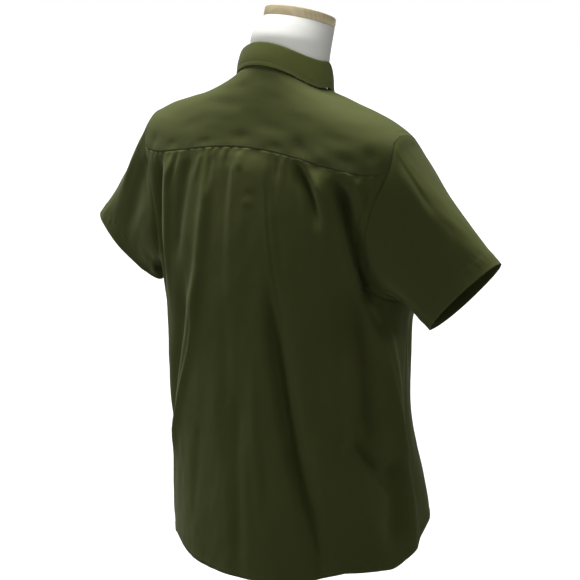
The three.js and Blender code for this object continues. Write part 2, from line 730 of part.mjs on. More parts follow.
function addButton(name, seat, outward) {
  const { radius, thickness, rim, dish } = button;
  const profile = [
    [0, 0], [radius, 0], [radius, thickness], [radius - rim, thickness],
    [radius - rim - dish, thickness - dish], [0, thickness - dish],
  ].map(([x, y]) => new THREE.Vector2(x, y));
  const mesh = add(name, new THREE.LatheGeometry(profile, 12), buttonPlastic());
  mesh.position.copy(seat).addScaledVector(outward, clothWall / 2 + buttonClear);
  mesh.quaternion.setFromUnitVectors(new THREE.Vector3(0, 1, 0), outward);
}

function addButtons() {
  buttonHeights.forEach((z, index) => {
    const level = levelAt(-180, z);
    const outward = surfaceNormal(clothPoint, -180, level);
    addButton(`button_${index + 1}`, clothPoint(-180, level), outward);
  });
  const seat = bodyPoint(-180, neckLevel).addScaledVector(standUp, standFrontHeight * 0.5);
  const outward = outFromNeck(180).applyAxisAngle(new THREE.Vector3(1, 0, 0), radians(standLean));
  addButton('button_stand', seat, outward);
}

// Dress form: a smooth torso that fits under the shoulders and stands clear of the cloth lower down.

function formPoint(turn, level) {
  const far = Math.abs(turn);
  const side = Math.sin(radians(far)) ** 4;
  const slim = formSlim * (1 - smooth(6.7, 7.6, level));
  const arm = formArm * side * smooth(4, 5.2, level) * (1 - smooth(7, 7.8, level));
  const neck = formNeckClear * smooth(8, 9, level) + formFrontClear * smooth(125, 155, far);
  const depth = clothWall / 2 + formClear + slim + arm + neck;
  const point = bodyPoint(far, level).addScaledVector(surfaceNormal(bodyPoint, far, level), -depth);
  if (turn < 0) point.x = -point.x;
  return point;
}

function leaningRing({ y, z, radius, lean }) {
  return evenly(formColumns, (part) => {
    const turn = radians(mix(-180, 180, part));
    return new THREE.Vector3(
      -radius * Math.sin(turn),
      y + radius * Math.cos(turn) * Math.cos(radians(lean)),
      z + radius * Math.cos(turn) * Math.sin(radians(lean)),
    );
  }).slice(0, -1);
}

function formBody() {
  const torso = formRings.map((level) => evenly(formColumns, (part) => formPoint(mix(-180, 180, part), level)));
  const rings = torso.map((ring) => ring.slice(0, -1));
  rings[0].forEach((point) => point.setZ(formEndZ));
  return stackGeometry([...rings, ...neckRings.map(leaningRing)]);
}

function lathe(profile, segments) {
  return new THREE.LatheGeometry(profile.map(([x, y]) => new THREE.Vector2(x, y)), segments);
}

function addNeckCap() {
  const { radius, thickness, edge, crown } = cap;
  const geometry = lathe([
    [0, 0], [radius - edge, 0], [radius, edge], [radius, thickness - edge],
    [radius - edge, thickness], [radius / 2, thickness + crown * 0.8], [0, thickness + crown],
  ], formColumns);
  const mesh = add('form_neck_cap', geometry, paleWood());
  const top = neckRings[neckRings.length - 1];
  const lean = radians(top.lean);
  const axis = new THREE.Vector3(0, -Math.sin(lean), Math.cos(lean));
  mesh.quaternion.setFromUnitVectors(new THREE.Vector3(0, 1, 0), axis);
  mesh.position.set(0, top.y, top.z).addScaledVector(axis, pole.clear);
}

function addStand() {
  const length = formEndZ - base.thickness - 2 * pole.clear;
  const poleMesh = add('form_pole', new THREE.CylinderGeometry(pole.radius, pole.radius, length, 24), standPaint());
  poleMesh.rotation.x = Math.PI / 2;
  poleMesh.position.z = base.thickness + pole.clear + length / 2;
  const { radius, thickness, edge } = base;
  const plate = lathe([[0, 0], [radius - 1, 0], [radius, 1], [radius, thickness - edge],
    [radius - edge, thickness], [0, thickness]], 48);
  add('form_base', plate, standPaint()).rotation.x = Math.PI / 2;
}

add('back_panel', backPanel(), shirtCloth());
add('yoke', yoke(), shirtCloth());
add('front_right', front(1), shirtCloth());
add('front_left', front(-1), shirtCloth());
add('sleeve_right', sleeve(1, sleeveHems.right), shirtCloth());
add('sleeve_left', sleeve(-1, sleeveHems.left), shirtCloth());
add('collar_stand', collarStand(), shirtCloth());
add('collar_leaf', collarLeaf(), shirtCloth());
addButtons();
add('form_body', formBody(), formCloth());
addNeckCap();
addStand();

export default shirtOnForm;
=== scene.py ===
import math
import bpy
import bmesh
import numpy as np
from mathutils import Matrix, Vector


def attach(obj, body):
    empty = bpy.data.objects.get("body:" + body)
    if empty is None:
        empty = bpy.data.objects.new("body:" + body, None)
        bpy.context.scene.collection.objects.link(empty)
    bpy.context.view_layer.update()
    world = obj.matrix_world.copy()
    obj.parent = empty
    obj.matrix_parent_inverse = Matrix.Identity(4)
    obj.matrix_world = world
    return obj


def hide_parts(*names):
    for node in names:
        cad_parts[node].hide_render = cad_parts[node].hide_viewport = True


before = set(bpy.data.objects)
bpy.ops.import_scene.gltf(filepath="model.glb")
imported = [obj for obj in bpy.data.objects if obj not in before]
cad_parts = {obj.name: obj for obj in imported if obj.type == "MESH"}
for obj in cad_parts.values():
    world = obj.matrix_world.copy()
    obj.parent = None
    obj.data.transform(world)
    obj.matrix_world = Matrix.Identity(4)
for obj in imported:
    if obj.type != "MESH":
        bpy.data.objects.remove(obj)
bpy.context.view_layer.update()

metre = 0.001  # the tables are in millimetres
print("scene: frame loaded")

# The shirt is worked out as the CAD solids are: turn is the angle round the body, 0 at the centre back
# and 90 at the wearer's right, and level is a row of the body table, from below the hem to the neckline.

body = {
    "columns": ("rightX", "leftX", "sideY", "backY", "frontY", "sideZ", "backZ", "frontZ"),
    "levels": [
        (188, 186, 0, 127, -138, 140, 140, 140),
        (188, 189, 0, 126, -134, 280, 280, 280),
        (187, 195, 0, 125, -131, 400, 400, 400),
        (188, 198, 0, 124, -129, 500, 500, 500),
        (194, 208, 2, 124, -128, 572, 572, 572),
        (211, 223, 12, 121, -122, 665, 655, 645),
        (223, 233, 24, 113, -112, 742, 725, 690),
        (220, 226, 28, 102, -99, 789, 779, 733),
        (182, 184, 24, 91, -86, 818, 822, 768),
        (117, 121, 13, 80, -68, 839, 860, 784),
        (62, 69, 8, 68, -50, 856, 893, 800),
    ],
    "neckLevel": 10,
    "underarmLevel": 4,
    "sideSeamTurn": 97,
    "frontOverlapTurn": 7,
    "frontYokeTurn": 125,
    "chestHalfWidth": 190,
    "chestHalfDepth": 127,
}

cloth = {
    "thickness": 0.9,
    "standThickness": 1.1,
    "collarThickness": 1.3,
    "solidHalf": 0.7,  # half the wall of the CAD solids, which the buttons and the form keep clear of
    "seamInset": 0.03,
    "armholeInset": 0.08,
    "tuck": 2.2,  # how far a sleeve reaches under the body at its armhole
    "yokeTuck": 0.5,  # and the back under the yoke
    "lapDepth": 1.9,
    "seamEase": 0.63,  # levels below the yoke over which the folds grow
}

hem = {
    "backZ": 164, "spreadRise": 21, "spreadTurn": 52, "leftRise": 9, "frontDrop": 34,
    "sideRise": 56, "riseStart": 78, "riseEnd": 116, "band": 8,
}

yokeSeam = {"backLevel": 7, "drop": 0.7, "flatTurn": 60}

armhole = {
    "knots": [  # turn, level: from the underarm up the back, over the shoulder and down the front
        (97, 4), (67, 4.25), (57, 4.85), (57.5, 5.6), (64.5, 6.3), (70, 7.0), (77, 7.35),
        (90, 7.5), (105, 7.3), (112, 6.9), (119, 6.2), (122, 5.5), (119, 4.8), (110, 4.25),
    ],
    "yokeBackKnot": 4,
    "shoulderKnot": 7,
    "yokeFrontKnot": 9,
    "samples": 12,
}

# Main folds of the body. Each runs through three places, turn and height, from the top down.
# low and high are the half widths towards the lower and the higher turn, so one side may be the steeper.
folds = {
    "columns": ("turnA", "zA", "turnB", "zB", "turnC", "zC", "low", "high", "rise"),
    "rows": [
        (37, 775, 50, 657, 70, 560, 11, 16, -19), (42, 710, 57, 590, 83, 430, 14, 12, 8),
        (70, 545, 88, 400, 96, 60, 13, 9, 10), (18, 782, 26, 735, 37, 660, 10, 9, -9),
        (29, 780, 33, 720, 38, 640, 9, 12, 5), (15, 620, 22, 400, 52, 90, 9, 24, -11),
        (58, 640, 61, 460, 66, 345, 26, 20, -18), (50, 380, 68, 337, 95, 308, 10, 17, -8),
        (83, 350, 84, 285, 76, 190, 18, 14, -9), (32, 395, 56, 296, 92, 160, 20, 20, 7),
        (-20, 620, -38, 430, -60, 290, 10, 12, 8), (-30, 610, -49, 430, -72, 270, 14, 12, -9),
        (-44, 770, -50, 680, -62, 520, 9, 8, -8), (-37, 770, -41, 670, -50, 520, 8, 8, 5),
        (-26, 775, -30, 690, -38, 590, 9, 9, -5), (-15, 760, -20, 620, -28, 500, 9, 9, 5),
        (-61, 760, -64, 690, -68, 600, 9, 9, -6), (-1, 450, -1, 300, 0, 100, 12, 12, -4),
        (-84, 540, -90, 380, -93, 60, 16, 16, 7), (-108, 520, -112, 380, -116, 60, 22, 22, 8),
        (128, 670, 134, 450, 142, 60, 17, 17, -8), (150, 620, 152, 420, 152, 60, 18, 18, 6),
        (-122, 670, -129, 440, -134, 60, 17, 17, -9), (-146, 640, -149, 420, -152, 60, 18, 18, 6),
    ],
    "steps": 10,
    "start": 0.2,
    "end": 0.3,
}

# Smaller creases that the solid leaves to this script, in the same columns.
creases = {
    "columns": folds["columns"],
    "rows": [
        (37, 764, 48, 657, 67, 566, 2.2, 7, -13), (54, 628, 60, 596, 70, 562, 3, 12, -5),
        (34.5, 760, 44, 675, 65, 546, 6, 2.2, 4.2), (53, 706, 52, 675, 52.5, 640, 2.2, 3.5, -2.4),
        (23, 768, 31.5, 735, 40, 690, 3, 5, 2.0), (18, 785, 25, 742, 37, 665, 3, 6, -5.5),
        (14, 590, 24, 400, 42, 150, 3.5, 20, -8), (9, 775, 13, 665, 23, 500, 2.2, 4.5, -1.8),
        (-43, 755, -51, 672, -63, 520, 6, 3, -5), (52, 380, 67, 333, 88, 275, 3, 12, -7.5),
        (-22, 600, -36, 445, -62, 290, 8, 3.5, -4.5), (64, 560, 82, 440, 93.5, 290, 5, 4, 4),
        (38, 768, 41, 772, 45, 764, 3.5, 3.5, 2.4), (12, 776, 13, 760, 14, 735, 3, 3.5, -1.8),
        (-3, 777, -2.5, 762, -1, 745, 4, 4, 2.2), (-8, 777, -8, 765, -7, 748, 3, 3, -1.6),
        (1, 722, 4, 718, 7, 716, 3, 3, -0.8), (0, 708, 3, 705, 6, 705, 3, 3, 0.8),
        (1, 695, 3, 693, 5, 694, 3, 3, -0.6), (-14, 772, -15, 745, -16, 700, 4, 5, -1.6),
        (-20, 772, -21, 750, -23, 715, 4, 4, 1.4), (-33, 768, -35, 735, -39, 690, 4, 4, -1.8),
        (46, 760, 51, 730, 55, 690, 6, 6, 3.0), (52, 745, 55, 715, 57, 680, 4, 4, -2.0),
        (64, 585, 70, 556, 78, 536, 5, 7, 3.0), (72, 560, 78, 540, 86, 520, 6, 5, -2.5),
        (26, 690, 30, 676, 35, 668, 9, 9, 0.7), (-8, 560, -7, 430, -6, 260, 9, 9, -1.4),
        (6, 520, 8, 380, 12, 210, 9, 9, 1.8), (-22, 420, -26, 320, -30, 200, 9, 9, -1.5),
        (40, 500, 48, 420, 60, 330, 9, 9, 2.0), (34, 300, 44, 250, 60, 205, 10, 10, -2.0),
        (-52, 330, -60, 260, -66, 190, 9, 9, 2.2), (-70, 520, -74, 430, -78, 330, 8, 8, -3.0),
        (100, 560, 104, 500, 112, 430, 8, 8, -3.0), (104, 600, 110, 560, 120, 520, 7, 7, 2.5),
        (-102, 560, -106, 510, -114, 450, 8, 8, -3.0), (-104, 600, -112, 570, -122, 540, 7, 7, 2.5),
        (140, 715, 134, 690, 128, 640, 9, 9, -2.5), (-140, 715, -134, 690, -128, 640, 9, 9, -2.5),
        (172, 690, 166, 640, 160, 560, 8, 8, 1.8), (-172, 690, -166, 640, -160, 560, 8, 8, 1.8),
        (170, 520, 163, 470, 154, 400, 9, 9, -2.0), (-170, 430, -163, 380, -154, 300, 9, 9, -2.0),
    ],
    "steps": 8,
    "start": 0.35,
    "end": 0.35,
}

# The cloth stands off at the right side below the waist.
flare = {"turn": 117, "topZ": 425, "lowZ": 205, "width": 62, "rise": 30}

pleat = {  # turns of its two edges at the yoke and where it ends
    "topLeft": -5, "topRight": 9, "lowLeft": -7, "lowRight": 23,
    "topZ": 779, "tackZ": 700, "lowZ": 510, "rise": 3.5, "edge": 1.1,
}

gathers = {"reach": 30, "depth": 0.75, "pitch": 16, "seed": 5}

crumple = {  # width and height of the cells, and their depth
    "layers": [(46, 150, 1.6), (21, 80, 0.9), (12, 24, 0.4), (6, 9, 0.12)],
    "seed": 11,
}

sleeves = {
    "right": {"x": 294, "y": 5, "z": 588, "slant": 45, "long": 73, "short": 32, "leaveOver": 0.45},
    "left": {"x": 284, "y": 5, "z": 594.5, "slant": 50.7, "long": 71, "short": 28, "leaveOver": 0.36},
    "leave": {"under": 0.95, "underDown": 0.3, "overDown": 0.78, "arrive": 0.4},
    "rows": 74,
    "runRadius": 62,
    "foldColumns": ("angle", "start", "end", "width", "rise"),
    "folds": [
        (96, -0.3, 0.75, 17, -5), (132, -0.2, 0.9, 15, 4), (158, -0.3, 0.7, 16, -5),
        (-80, -0.3, 0.7, 20, -4), (-140, -0.3, 0.7, 18, -5), (62, -0.1, 0.6, 9, 1.6),
        (48, -0.1, 0.5, 8, -1.4), (112, 0.1, 1.0, 8, 1.6), (145, 0.2, 1.1, 7, -1.6),
        (-48, -0.1, 0.6, 9, 1.5), (-110, 0.1, 0.9, 9, 1.8),
    ],
    "hemBand": 22,
}

collar = {
    "standHeight": 24, "rightRise": 9, "leftRise": 3, "frontHeight": 16, "lean": 14,
    "seamClear": 1.15, "leafClear": 0.7,
    "neckShare": 0.38,  # the neck's length over the chest's
    "halfLength": 205, "standGrid": (181, 13), "leafGrid": (201, 44),
    "endTurn": 171, "pointTurn": 148, "fallTurn": 112, "backDrop": 3.5, "pointDrop": 46, "lift": 2.0,
}

form = {
    "endZ": 240, "clear": 1.6, "slim": 29, "arm": 17, "neckClear": 3, "frontClear": 8,
    "levels": [0.72, 1.4, 2.2, 3, 3.8, 4.6, 5.4, 6.2, 6.9, 7.5, 8.1, 8.7, 9.2, 9.6],
    "columns": 96,
    "neckRings": [  # y, z, radius, lean
        (6, 852, 55.5, 27), (4, 873, 56, 26), (1, 895, 57, 24),
        (-2, 911, 57, 22), (-11, 926, 54.5, 20), (-22, 940, 51, 18.7),
    ],
    "capRadius": 51, "capThickness": 14, "poleRadius": 16, "baseRadius": 165, "baseThickness": 12, "gap": 0.3,
}

stitch = {"pitch": 2.9, "length": 2.1, "width": 0.55, "height": 0.42, "lift": 0.12}
rowFrom = {  # how far each row of stitches lies from its edge
    "hem": 6.8, "seam": 1.6, "seamSecond": 7.4, "yoke": 2.2, "yokeSecond": 8.2,
    "frontSeam": 2.0, "frontEdge": 5.0, "sleeveHem": 20.7, "stand": 2.2, "leaf": 6,
}

camera = {
    "azimuth": 215, "elevation": 12.5, "distance": 3500, "targetZ": 560,
    "millimetresPerPixel": 1.43, "pixels": 580, "sensor": 36,
}

frontEdgeTurn = 180 + body["frontOverlapTurn"]
yokeEndTurn = armhole["knots"][armhole["yokeBackKnot"]][0]


# Numbers and curves

def rowsOf(table, columns="columns", rows="rows"):
    return [dict(zip(table[columns], row)) for row in table[rows]]


def mix(a, b, part):
    return a + (b - a) * part


def smooth(low, high, value):
    part = np.clip((np.asarray(value, float) - low) / (high - low), 0, 1)
    return part * part * (3 - 2 * part)


def fall(low, high, value):
    return 1 - smooth(low, high, value)


def bell(value, width, middle=0):
    return np.exp(-((value - middle) / width) ** 2)


def catmullRom(values, at):
    values = np.asarray(values, float)
    at = np.clip(np.asarray(at, float), 0, len(values) - 1)
    row = np.minimum(at.astype(int), len(values) - 2)
    part = at - row
    last = len(values) - 1
    before, start, end, after = (values[np.clip(row + step, 0, last)] for step in (-1, 0, 1, 2))
    leave, arrive = (end - before) / 2, (after - start) / 2
    squared, cubed = part ** 2, part ** 3
    return (start * (2 * cubed - 3 * squared + 1) + leave * (cubed - 2 * squared + part)
            + end * (3 * squared - 2 * cubed) + arrive * (cubed - squared))


def softNoise(x, y, seed):
    # Value noise with cells of one unit, from -1 to 1.
    cells = np.random.default_rng(seed).uniform(-1, 1, (64, 64))
    column, row = np.floor(x).astype(int), np.floor(y).astype(int)
    u, v = smooth(0, 1, x - column), smooth(0, 1, y - row)
    corner = lambda i, j: cells[(column + i) % 64, (row + j) % 64]
    return mix(mix(corner(0, 0), corner(1, 0), u), mix(corner(0, 1), corner(1, 1), u), v)


def curveThrough(knots, at):
    return np.stack([catmullRom(knots[:, axis], at) for axis in range(knots.shape[1])], -1)


def unit(vectors):
    return vectors / np.maximum(np.linalg.norm(vectors, axis=-1, keepdims=True), 1e-9)


# Meshes and objects

def newMesh(name, points, edges=(), faces=()):
    mesh = bpy.data.meshes.new(name)
    mesh.from_pydata((np.asarray(points) * metre).tolist(), edges, faces)
    mesh.polygons.foreach_set("use_smooth", np.ones(len(mesh.polygons), bool))
    return mesh


def addObject(name, data):
    made = bpy.data.objects.new(name, data)
    bpy.context.collection.objects.link(made)
    return made


def settledMesh(made):
    # The mesh of an object once its modifiers have run.
    return bpy.data.meshes.new_from_object(made.evaluated_get(bpy.context.evaluated_depsgraph_get()))


# The body of the shirt

bodyTable = {name: [row[i] for row in body["levels"]] for i, name in enumerate(body["columns"])}


def bodyPoint(turn, level):
    turn, level = np.broadcast_arrays(np.asarray(turn, float), np.asarray(level, float))
    read = {name: catmullRom(values, level) for name, values in bodyTable.items()}
    across, back = np.sin(np.radians(turn)), np.cos(np.radians(turn))
    endY = np.where(back > 0, read["backY"], read["frontY"])
    endZ = np.where(back > 0, read["backZ"], read["frontZ"])
    width = np.where(across > 0, read["rightX"], read["leftX"])
    return np.stack([
        -width * across,
        read["sideY"] + (endY - read["sideY"]) * np.abs(back),
        read["sideZ"] + (endZ - read["sideZ"]) * back * back,
    ], -1)


def levelAt(turn, z):
    low = np.zeros(np.shape(turn))
    high = np.full(np.shape(turn), float(body["neckLevel"]))
    for halving in range(24):
        middle = (low + high) / 2
        below = bodyPoint(turn, middle)[..., 2] < z
        low, high = np.where(below, middle, low), np.where(below, high, middle)
    return (low + high) / 2


def surfaceNormal(surface, turn, level):
    across = surface(turn + 0.5, level) - surface(turn - 0.5, level)
    up = surface(turn, np.minimum(level + 0.01, body["neckLevel"])) - surface(turn, np.maximum(level - 0.01, 0))
    return unit(np.cross(across, up))


def measureRound():
    # Millimetres round the chest from the centre back, for each whole degree.
    angles = np.radians(np.arange(1, 201) - 0.5)
    steps = np.radians(np.hypot(body["chestHalfWidth"] * np.cos(angles), body["chestHalfDepth"] * np.sin(angles)))
    return np.concatenate([[0], np.cumsum(steps)])


roundChest = measureRound()


def runAt(turn):
    return np.sign(turn) * np.interp(np.abs(turn), np.arange(201), roundChest)


def foldLines(table):
    lines = []
    for fold in rowsOf(table):
        start, middle, end = (np.array([runAt(fold["turn" + k]), fold["z" + k]]) for k in "ABC")
        handle = 2 * middle - (start + end) / 2
        part = np.linspace(0, 1, table["steps"] + 1)[:, None]
        line = start * (1 - part) ** 2 + 2 * handle * part * (1 - part) + end * part ** 2
        lines.append((fold, line))
    return lines


mainLines, creaseLines = foldLines(folds), foldLines(creases)


def foldShift(lines, table, run, z):
    place = np.stack([run, z], -1)
    shift = np.zeros(run.shape)
    for fold, line in lines:
        nearest = np.full(run.shape, np.inf)
        at, side = np.zeros(run.shape), np.ones(run.shape)
        for step in range(table["steps"]):
            piece = line[step + 1] - line[step]
            away = place - line[step]
            part = np.clip((away @ piece) / (piece @ piece), 0, 1)
            offset = away - part[..., None] * piece
            distance = np.linalg.norm(offset, axis=-1)
            closer = distance < nearest
            nearest = np.where(closer, distance, nearest)
            at = np.where(closer, (step + part) / table["steps"], at)
            side = np.where(closer, offset[..., 0] * -piece[1] + offset[..., 1] * piece[0], side)
        width = np.where(side > 0, fold["high"], fold["low"])
        ends = smooth(0, table["start"], at) * fall(1 - table["end"], 1, at)
        shift += fold["rise"] * bell(nearest, width) * ends
    return shift


def pleatShift(turn, z):
    low = np.clip((pleat["topZ"] - z) / (pleat["topZ"] - pleat["lowZ"]), 0, 1)
    left, right = mix(pleat["topLeft"], pleat["lowLeft"], low), mix(pleat["topRight"], pleat["lowRight"], low)
    soft = pleat["edge"] * (1 + 2 * low)
    inside = smooth(left - soft, left + soft, turn) * fall(right - soft, right + soft, turn)
    return pleat["rise"] * inside * smooth(pleat["lowZ"], pleat["tackZ"], z)


def flareShift(turn, z):
    grown = fall(flare["lowZ"], flare["topZ"], z)
    return flare["rise"] * grown * bell(runAt(turn), flare["width"], runAt(flare["turn"]))


def crumpleShift(run, z):
    shift = np.zeros(run.shape)
    for index, (width, height, depth) in enumerate(crumple["layers"]):
        drift = 0.6 * softNoise(run / 90, z / 120, crumple["seed"] + 20 + index)
        shift += depth * softNoise(run / width + drift + 31, z / height + 17, crumple["seed"] + index)
    return shift


def gatherShift(run, below):
    # Small puckers under the yoke seam, uneven in pitch and reach. below is the distance from the seam.
    uneven = run / gathers["pitch"] + 0.7 * softNoise(run / 34, run * 0, gathers["seed"])
    reach = gathers["reach"] * (0.55 + 0.45 * softNoise(run / 25 + 9, run * 0, gathers["seed"] + 1))
    return gathers["depth"] * np.sin(2 * math.pi * uneven) * np.exp(-below / reach) * smooth(0, 4, below)


def yokeLevel(turn):
    part = np.minimum(np.abs(turn) / yokeSeam["flatTurn"], 1)
    return yokeSeam["backLevel"] - yokeSeam["drop"] * (1 - np.cos(math.pi * part)) / 2


def largeShift(turn, level):
    z = bodyPoint(turn, level)[..., 2]
    below = smooth(0, cloth["seamEase"], yokeLevel(turn) - level)
    shift = foldShift(mainLines, folds, runAt(turn), z) + pleatShift(turn, z) + flareShift(turn, z)
    return shift * below


def clothPoint(turn, level):
    normal = surfaceNormal(bodyPoint, turn, level)
    return bodyPoint(turn, level) + normal * largeShift(turn, level)[..., None]


def hemLevel(turn):
    far = np.where(np.abs(turn) > 180, 360 - np.abs(turn), np.abs(turn))
    spread = hem["spreadRise"] * np.minimum(far / hem["spreadTurn"], 1) ** 2
    left = hem["leftRise"] * smooth(25, 60, -turn) * fall(110, 170, -turn)
    side = hem["sideRise"] * smooth(hem["riseStart"], hem["riseEnd"], far)
    return levelAt(turn, hem["backZ"] + spread + left + side - hem["frontDrop"] * smooth(125, 180, far))


# Edges of the panels as arrays of turn and level

def places(turn, level):
    return np.stack(np.broadcast_arrays(np.asarray(turn, float), np.asarray(level, float)), -1)


def mirrored(edge):
    return edge * np.array([-1, 1])


def armholeRun(firstKnot, lastKnot):
    count = len(armhole["knots"])
    ring = np.array([armhole["knots"][i % count] for i in range(-2, count + 3)], float)
    at = np.linspace(firstKnot, lastKnot, (lastKnot - firstKnot) * armhole["samples"] + 1) + 2
    return curveThrough(ring, at)


def lapUnder(turn):
    # The right front goes under the left one.
    over = body["frontOverlapTurn"]
    return cloth["lapDepth"] * smooth(180 - 2.4 * over, 180 - 1.4 * over, turn)


def sideSeam(rows):
    turn = body["sideSeamTurn"]
    low = float(hemLevel(np.array(float(turn))))
    return places(turn, np.linspace(low, body["underarmLevel"], rows + 1))


def frontYokeSeam(rows):
    turn, level = armhole["knots"][armhole["yokeFrontKnot"]]
    part = np.linspace(0, 1, rows + 1)
    return places(mix(turn, body["frontYokeTurn"], part), mix(level, body["neckLevel"], part))


def rowShares(side):
    rise = (side[:, 1] - side[0, 1]) / (side[-1, 1] - side[0, 1])
    return (np.linspace(0, 1, len(side)) + rise) / 2


def fillBetween(bottom, top, left, right, fade):
    share = rowShares(left)[None, :, None]
    plain = mix(bottom[:, None], top[:, None], share)
    across = np.linspace(0, 1, len(bottom))
    nearLeft = fall(0, fade, across)[:, None, None]
    nearRight = fall(0, fade, 1 - across)[:, None, None]
    return plain + nearLeft * (left[None] - plain[:1]) + nearRight * (right[None] - plain[-1:])


# Grids of points

def gridNormals(points, outward=None, closed=False):
    if closed:
        across = np.roll(points, -1, 0) - np.roll(points, 1, 0)
    else:
        across = np.gradient(points, axis=0)
    normals = unit(np.cross(across, np.gradient(points, axis=1)))
    if outward is not None and np.sum(normals * outward) < 0:
        normals = -normals
    return normals


def fromEdge(points, edge):
    # Distance of each point from one edge of its grid, along the grid's own lines.
    axis = 1 if edge in ("bottom", "top") else 0
    steps = np.linalg.norm(np.diff(points, axis=axis), axis=-1)
    lead = np.zeros_like(steps[:, :1] if axis else steps[:1])
    if edge in ("bottom", "left"):
        return np.concatenate([lead, np.cumsum(steps, axis)], axis)
    backwards = np.flip(np.cumsum(np.flip(steps, axis), axis), axis)
    return np.concatenate([backwards, lead], axis)


def insetEdges(points, insets):
    moved = points.copy()
    axes = {"left": (0, 0, 1), "right": (0, -1, -2), "bottom": (1, 0, 1), "top": (1, -1, -2)}
    for edge, amount in insets.items():
        axis, at, inner = axes[edge]
        line, beside = np.take(points, at, axis), np.take(points, inner, axis)
        tangent = unit(np.gradient(line, axis=0))
        inwards = beside - line
        inwards = unit(inwards - tangent * np.sum(inwards * tangent, -1, keepdims=True))
        moved.swapaxes(0, axis)[at] += inwards * np.broadcast_to(amount, line.shape[:1])[:, None]
    return moved


def lineInside(points, normals, edge, distance, start=0, end=None):
    # A line on the grid a given distance from one edge, with the normals beside it.
    far = fromEdge(points, edge)
    if edge in ("left", "right"):
        points, normals, far = points.swapaxes(0, 1), normals.swapaxes(0, 1), far.T
    line, ups = [], []
    for column in range(len(points))[start:end]:
        order = np.argsort(far[column])
        line.append([np.interp(distance, far[column][order], points[column, order, k]) for k in range(3)])
        ups.append([np.interp(distance, far[column][order], normals[column, order, k]) for k in range(3)])
    return np.array(line), unit(np.array(ups))


def clothPiece(name, node, points, normals, uv, wear_and_sheen, thickness=cloth["thickness"], closed=False):
    # A closed thin wall: the grid moved out and in by half the thickness and joined at its edges.
    columns, rows = points.shape[:2]
    vertices = np.concatenate([(points + normals * half).reshape(-1, 3) for half in (thickness / 2, -thickness / 2)])
    wraps = columns if closed else columns - 1
    c, r = np.meshgrid(np.arange(wraps), np.arange(rows - 1), indexing="ij")
    at = lambda c, r: (c % columns) * rows + r
    inside = columns * rows
    quads = [np.stack([at(c, r), at(c + 1, r), at(c + 1, r + 1), at(c, r + 1)], -1).reshape(-1, 4)]
    quads.append(quads[0][:, ::-1] + inside)

    def addRim(first, second, flip):
        rim = np.stack([second, first, first + inside, second + inside], -1)
        quads.append(rim[:, ::-1] if flip else rim)

    line = np.arange(wraps)
    for row in (0, rows - 1):
        addRim(at(line, row), at(line + 1, row), row > 0)
    line = np.arange(rows - 1)
    for column in () if closed else (0, columns - 1):
        addRim(at(column, line + 1), at(column, line), column > 0)
    faces = np.concatenate(quads)
    across, up = points[1, 0] - points[0, 0], points[0, 1] - points[0, 0]
    if np.dot(np.cross(across, up), normals[0, 0]) < 0:
        faces = faces[:, ::-1]
    mesh = newMesh(name, vertices, faces=faces.tolist())
    used = np.empty(len(mesh.loops), int)
    mesh.loops.foreach_get("vertex_index", used)
    flat = np.concatenate([np.stack(uv, -1).reshape(-1, 2)] * 2) * metre
    mesh.uv_layers.new(name="cloth").data.foreach_set("uv", flat[used].astype(np.float32).ravel())
    # This attribute holds real fading at the cloth's edges, and on the yoke painted sheen as well.
    mesh.attributes.new("wear_and_sheen", "FLOAT", "POINT").data.foreach_set(
        "value", np.concatenate([wear_and_sheen.ravel()] * 2).astype(np.float32))
    return dress(addObject(name, mesh), shirtCloth, "shirt_cloth", node)


# Materials

def giveSocket(tree, socket, value):
    value = value.socket if isinstance(value, Flow) else value
    if isinstance(value, bpy.types.NodeSocket):
        tree.links.new(value, socket)
    elif isinstance(value, tuple) and len(socket.default_value) == 4:
        socket.default_value = (*value, 1)
    else:
        socket.default_value = value


def giveNamed(tree, node, values):
    for key, value in values.items():
        giveSocket(tree, next(s for s in node.inputs if s.name.replace(" ", "") == key and s.enabled), value)


def addNode(tree, kind, settings=None, **values):
    node = tree.nodes.new(kind)
    for key, value in (settings or {}).items():
        setattr(node, key, value)
    giveNamed(tree, node, values)
    return node


class Flow:
    # A socket of a material, with the sums that are made on it.
    def __init__(self, tree, socket):
        self.tree, self.socket = tree, socket

    def math(self, operation, first, second):
        node = addNode(self.tree, "ShaderNodeMath", {"operation": operation})
        giveSocket(self.tree, node.inputs[0], first)
        giveSocket(self.tree, node.inputs[1], second)
        return Flow(self.tree, node.outputs[0])

    def __add__(self, other): return self.math("ADD", self, other)
    def __radd__(self, other): return self.math("ADD", other, self)
    def __sub__(self, other): return self.math("SUBTRACT", self, other)
    def __rsub__(self, other): return self.math("SUBTRACT", other, self)
    def __mul__(self, other): return self.math("MULTIPLY", self, other)
    def __rmul__(self, other): return self.math("MULTIPLY", other, self)
    def sine(self): return self.math("SINE", self, 0)


class Finish:
    # A material and the nodes it is made of.
    def __init__(self, name):
        self.material = bpy.data.materials.new(name)
        self.material.use_nodes = True
        self.tree = self.material.node_tree

    def node(self, kind, settings=None, output=0, **values):
        return Flow(self.tree, addNode(self.tree, kind, settings, **values).outputs[output])

    def place(self):
        return self.node("ShaderNodeTexCoord", output=3)

    def noise(self, scale, detail, roughness, distortion=0, at=None):
        return self.node("ShaderNodeTexNoise", Vector=at or self.place(), Scale=scale, Detail=detail,
                         Roughness=roughness, Distortion=distortion)

    def bump(self, height, strength, distance):
        return self.node("ShaderNodeBump", Height=height, Strength=strength, Distance=distance)

    def mixColour(self, factor, first, second):
        node = addNode(self.tree, "ShaderNodeMix", {"data_type": "RGBA"})
        for place, value in ((0, factor), (6, first), (7, second)):
            giveSocket(self.tree, node.inputs[place], value)
        return Flow(self.tree, node.outputs[2])

    def set(self, **values):
        giveNamed(self.tree, self.tree.nodes["Principled BSDF"], values)
        return self.material


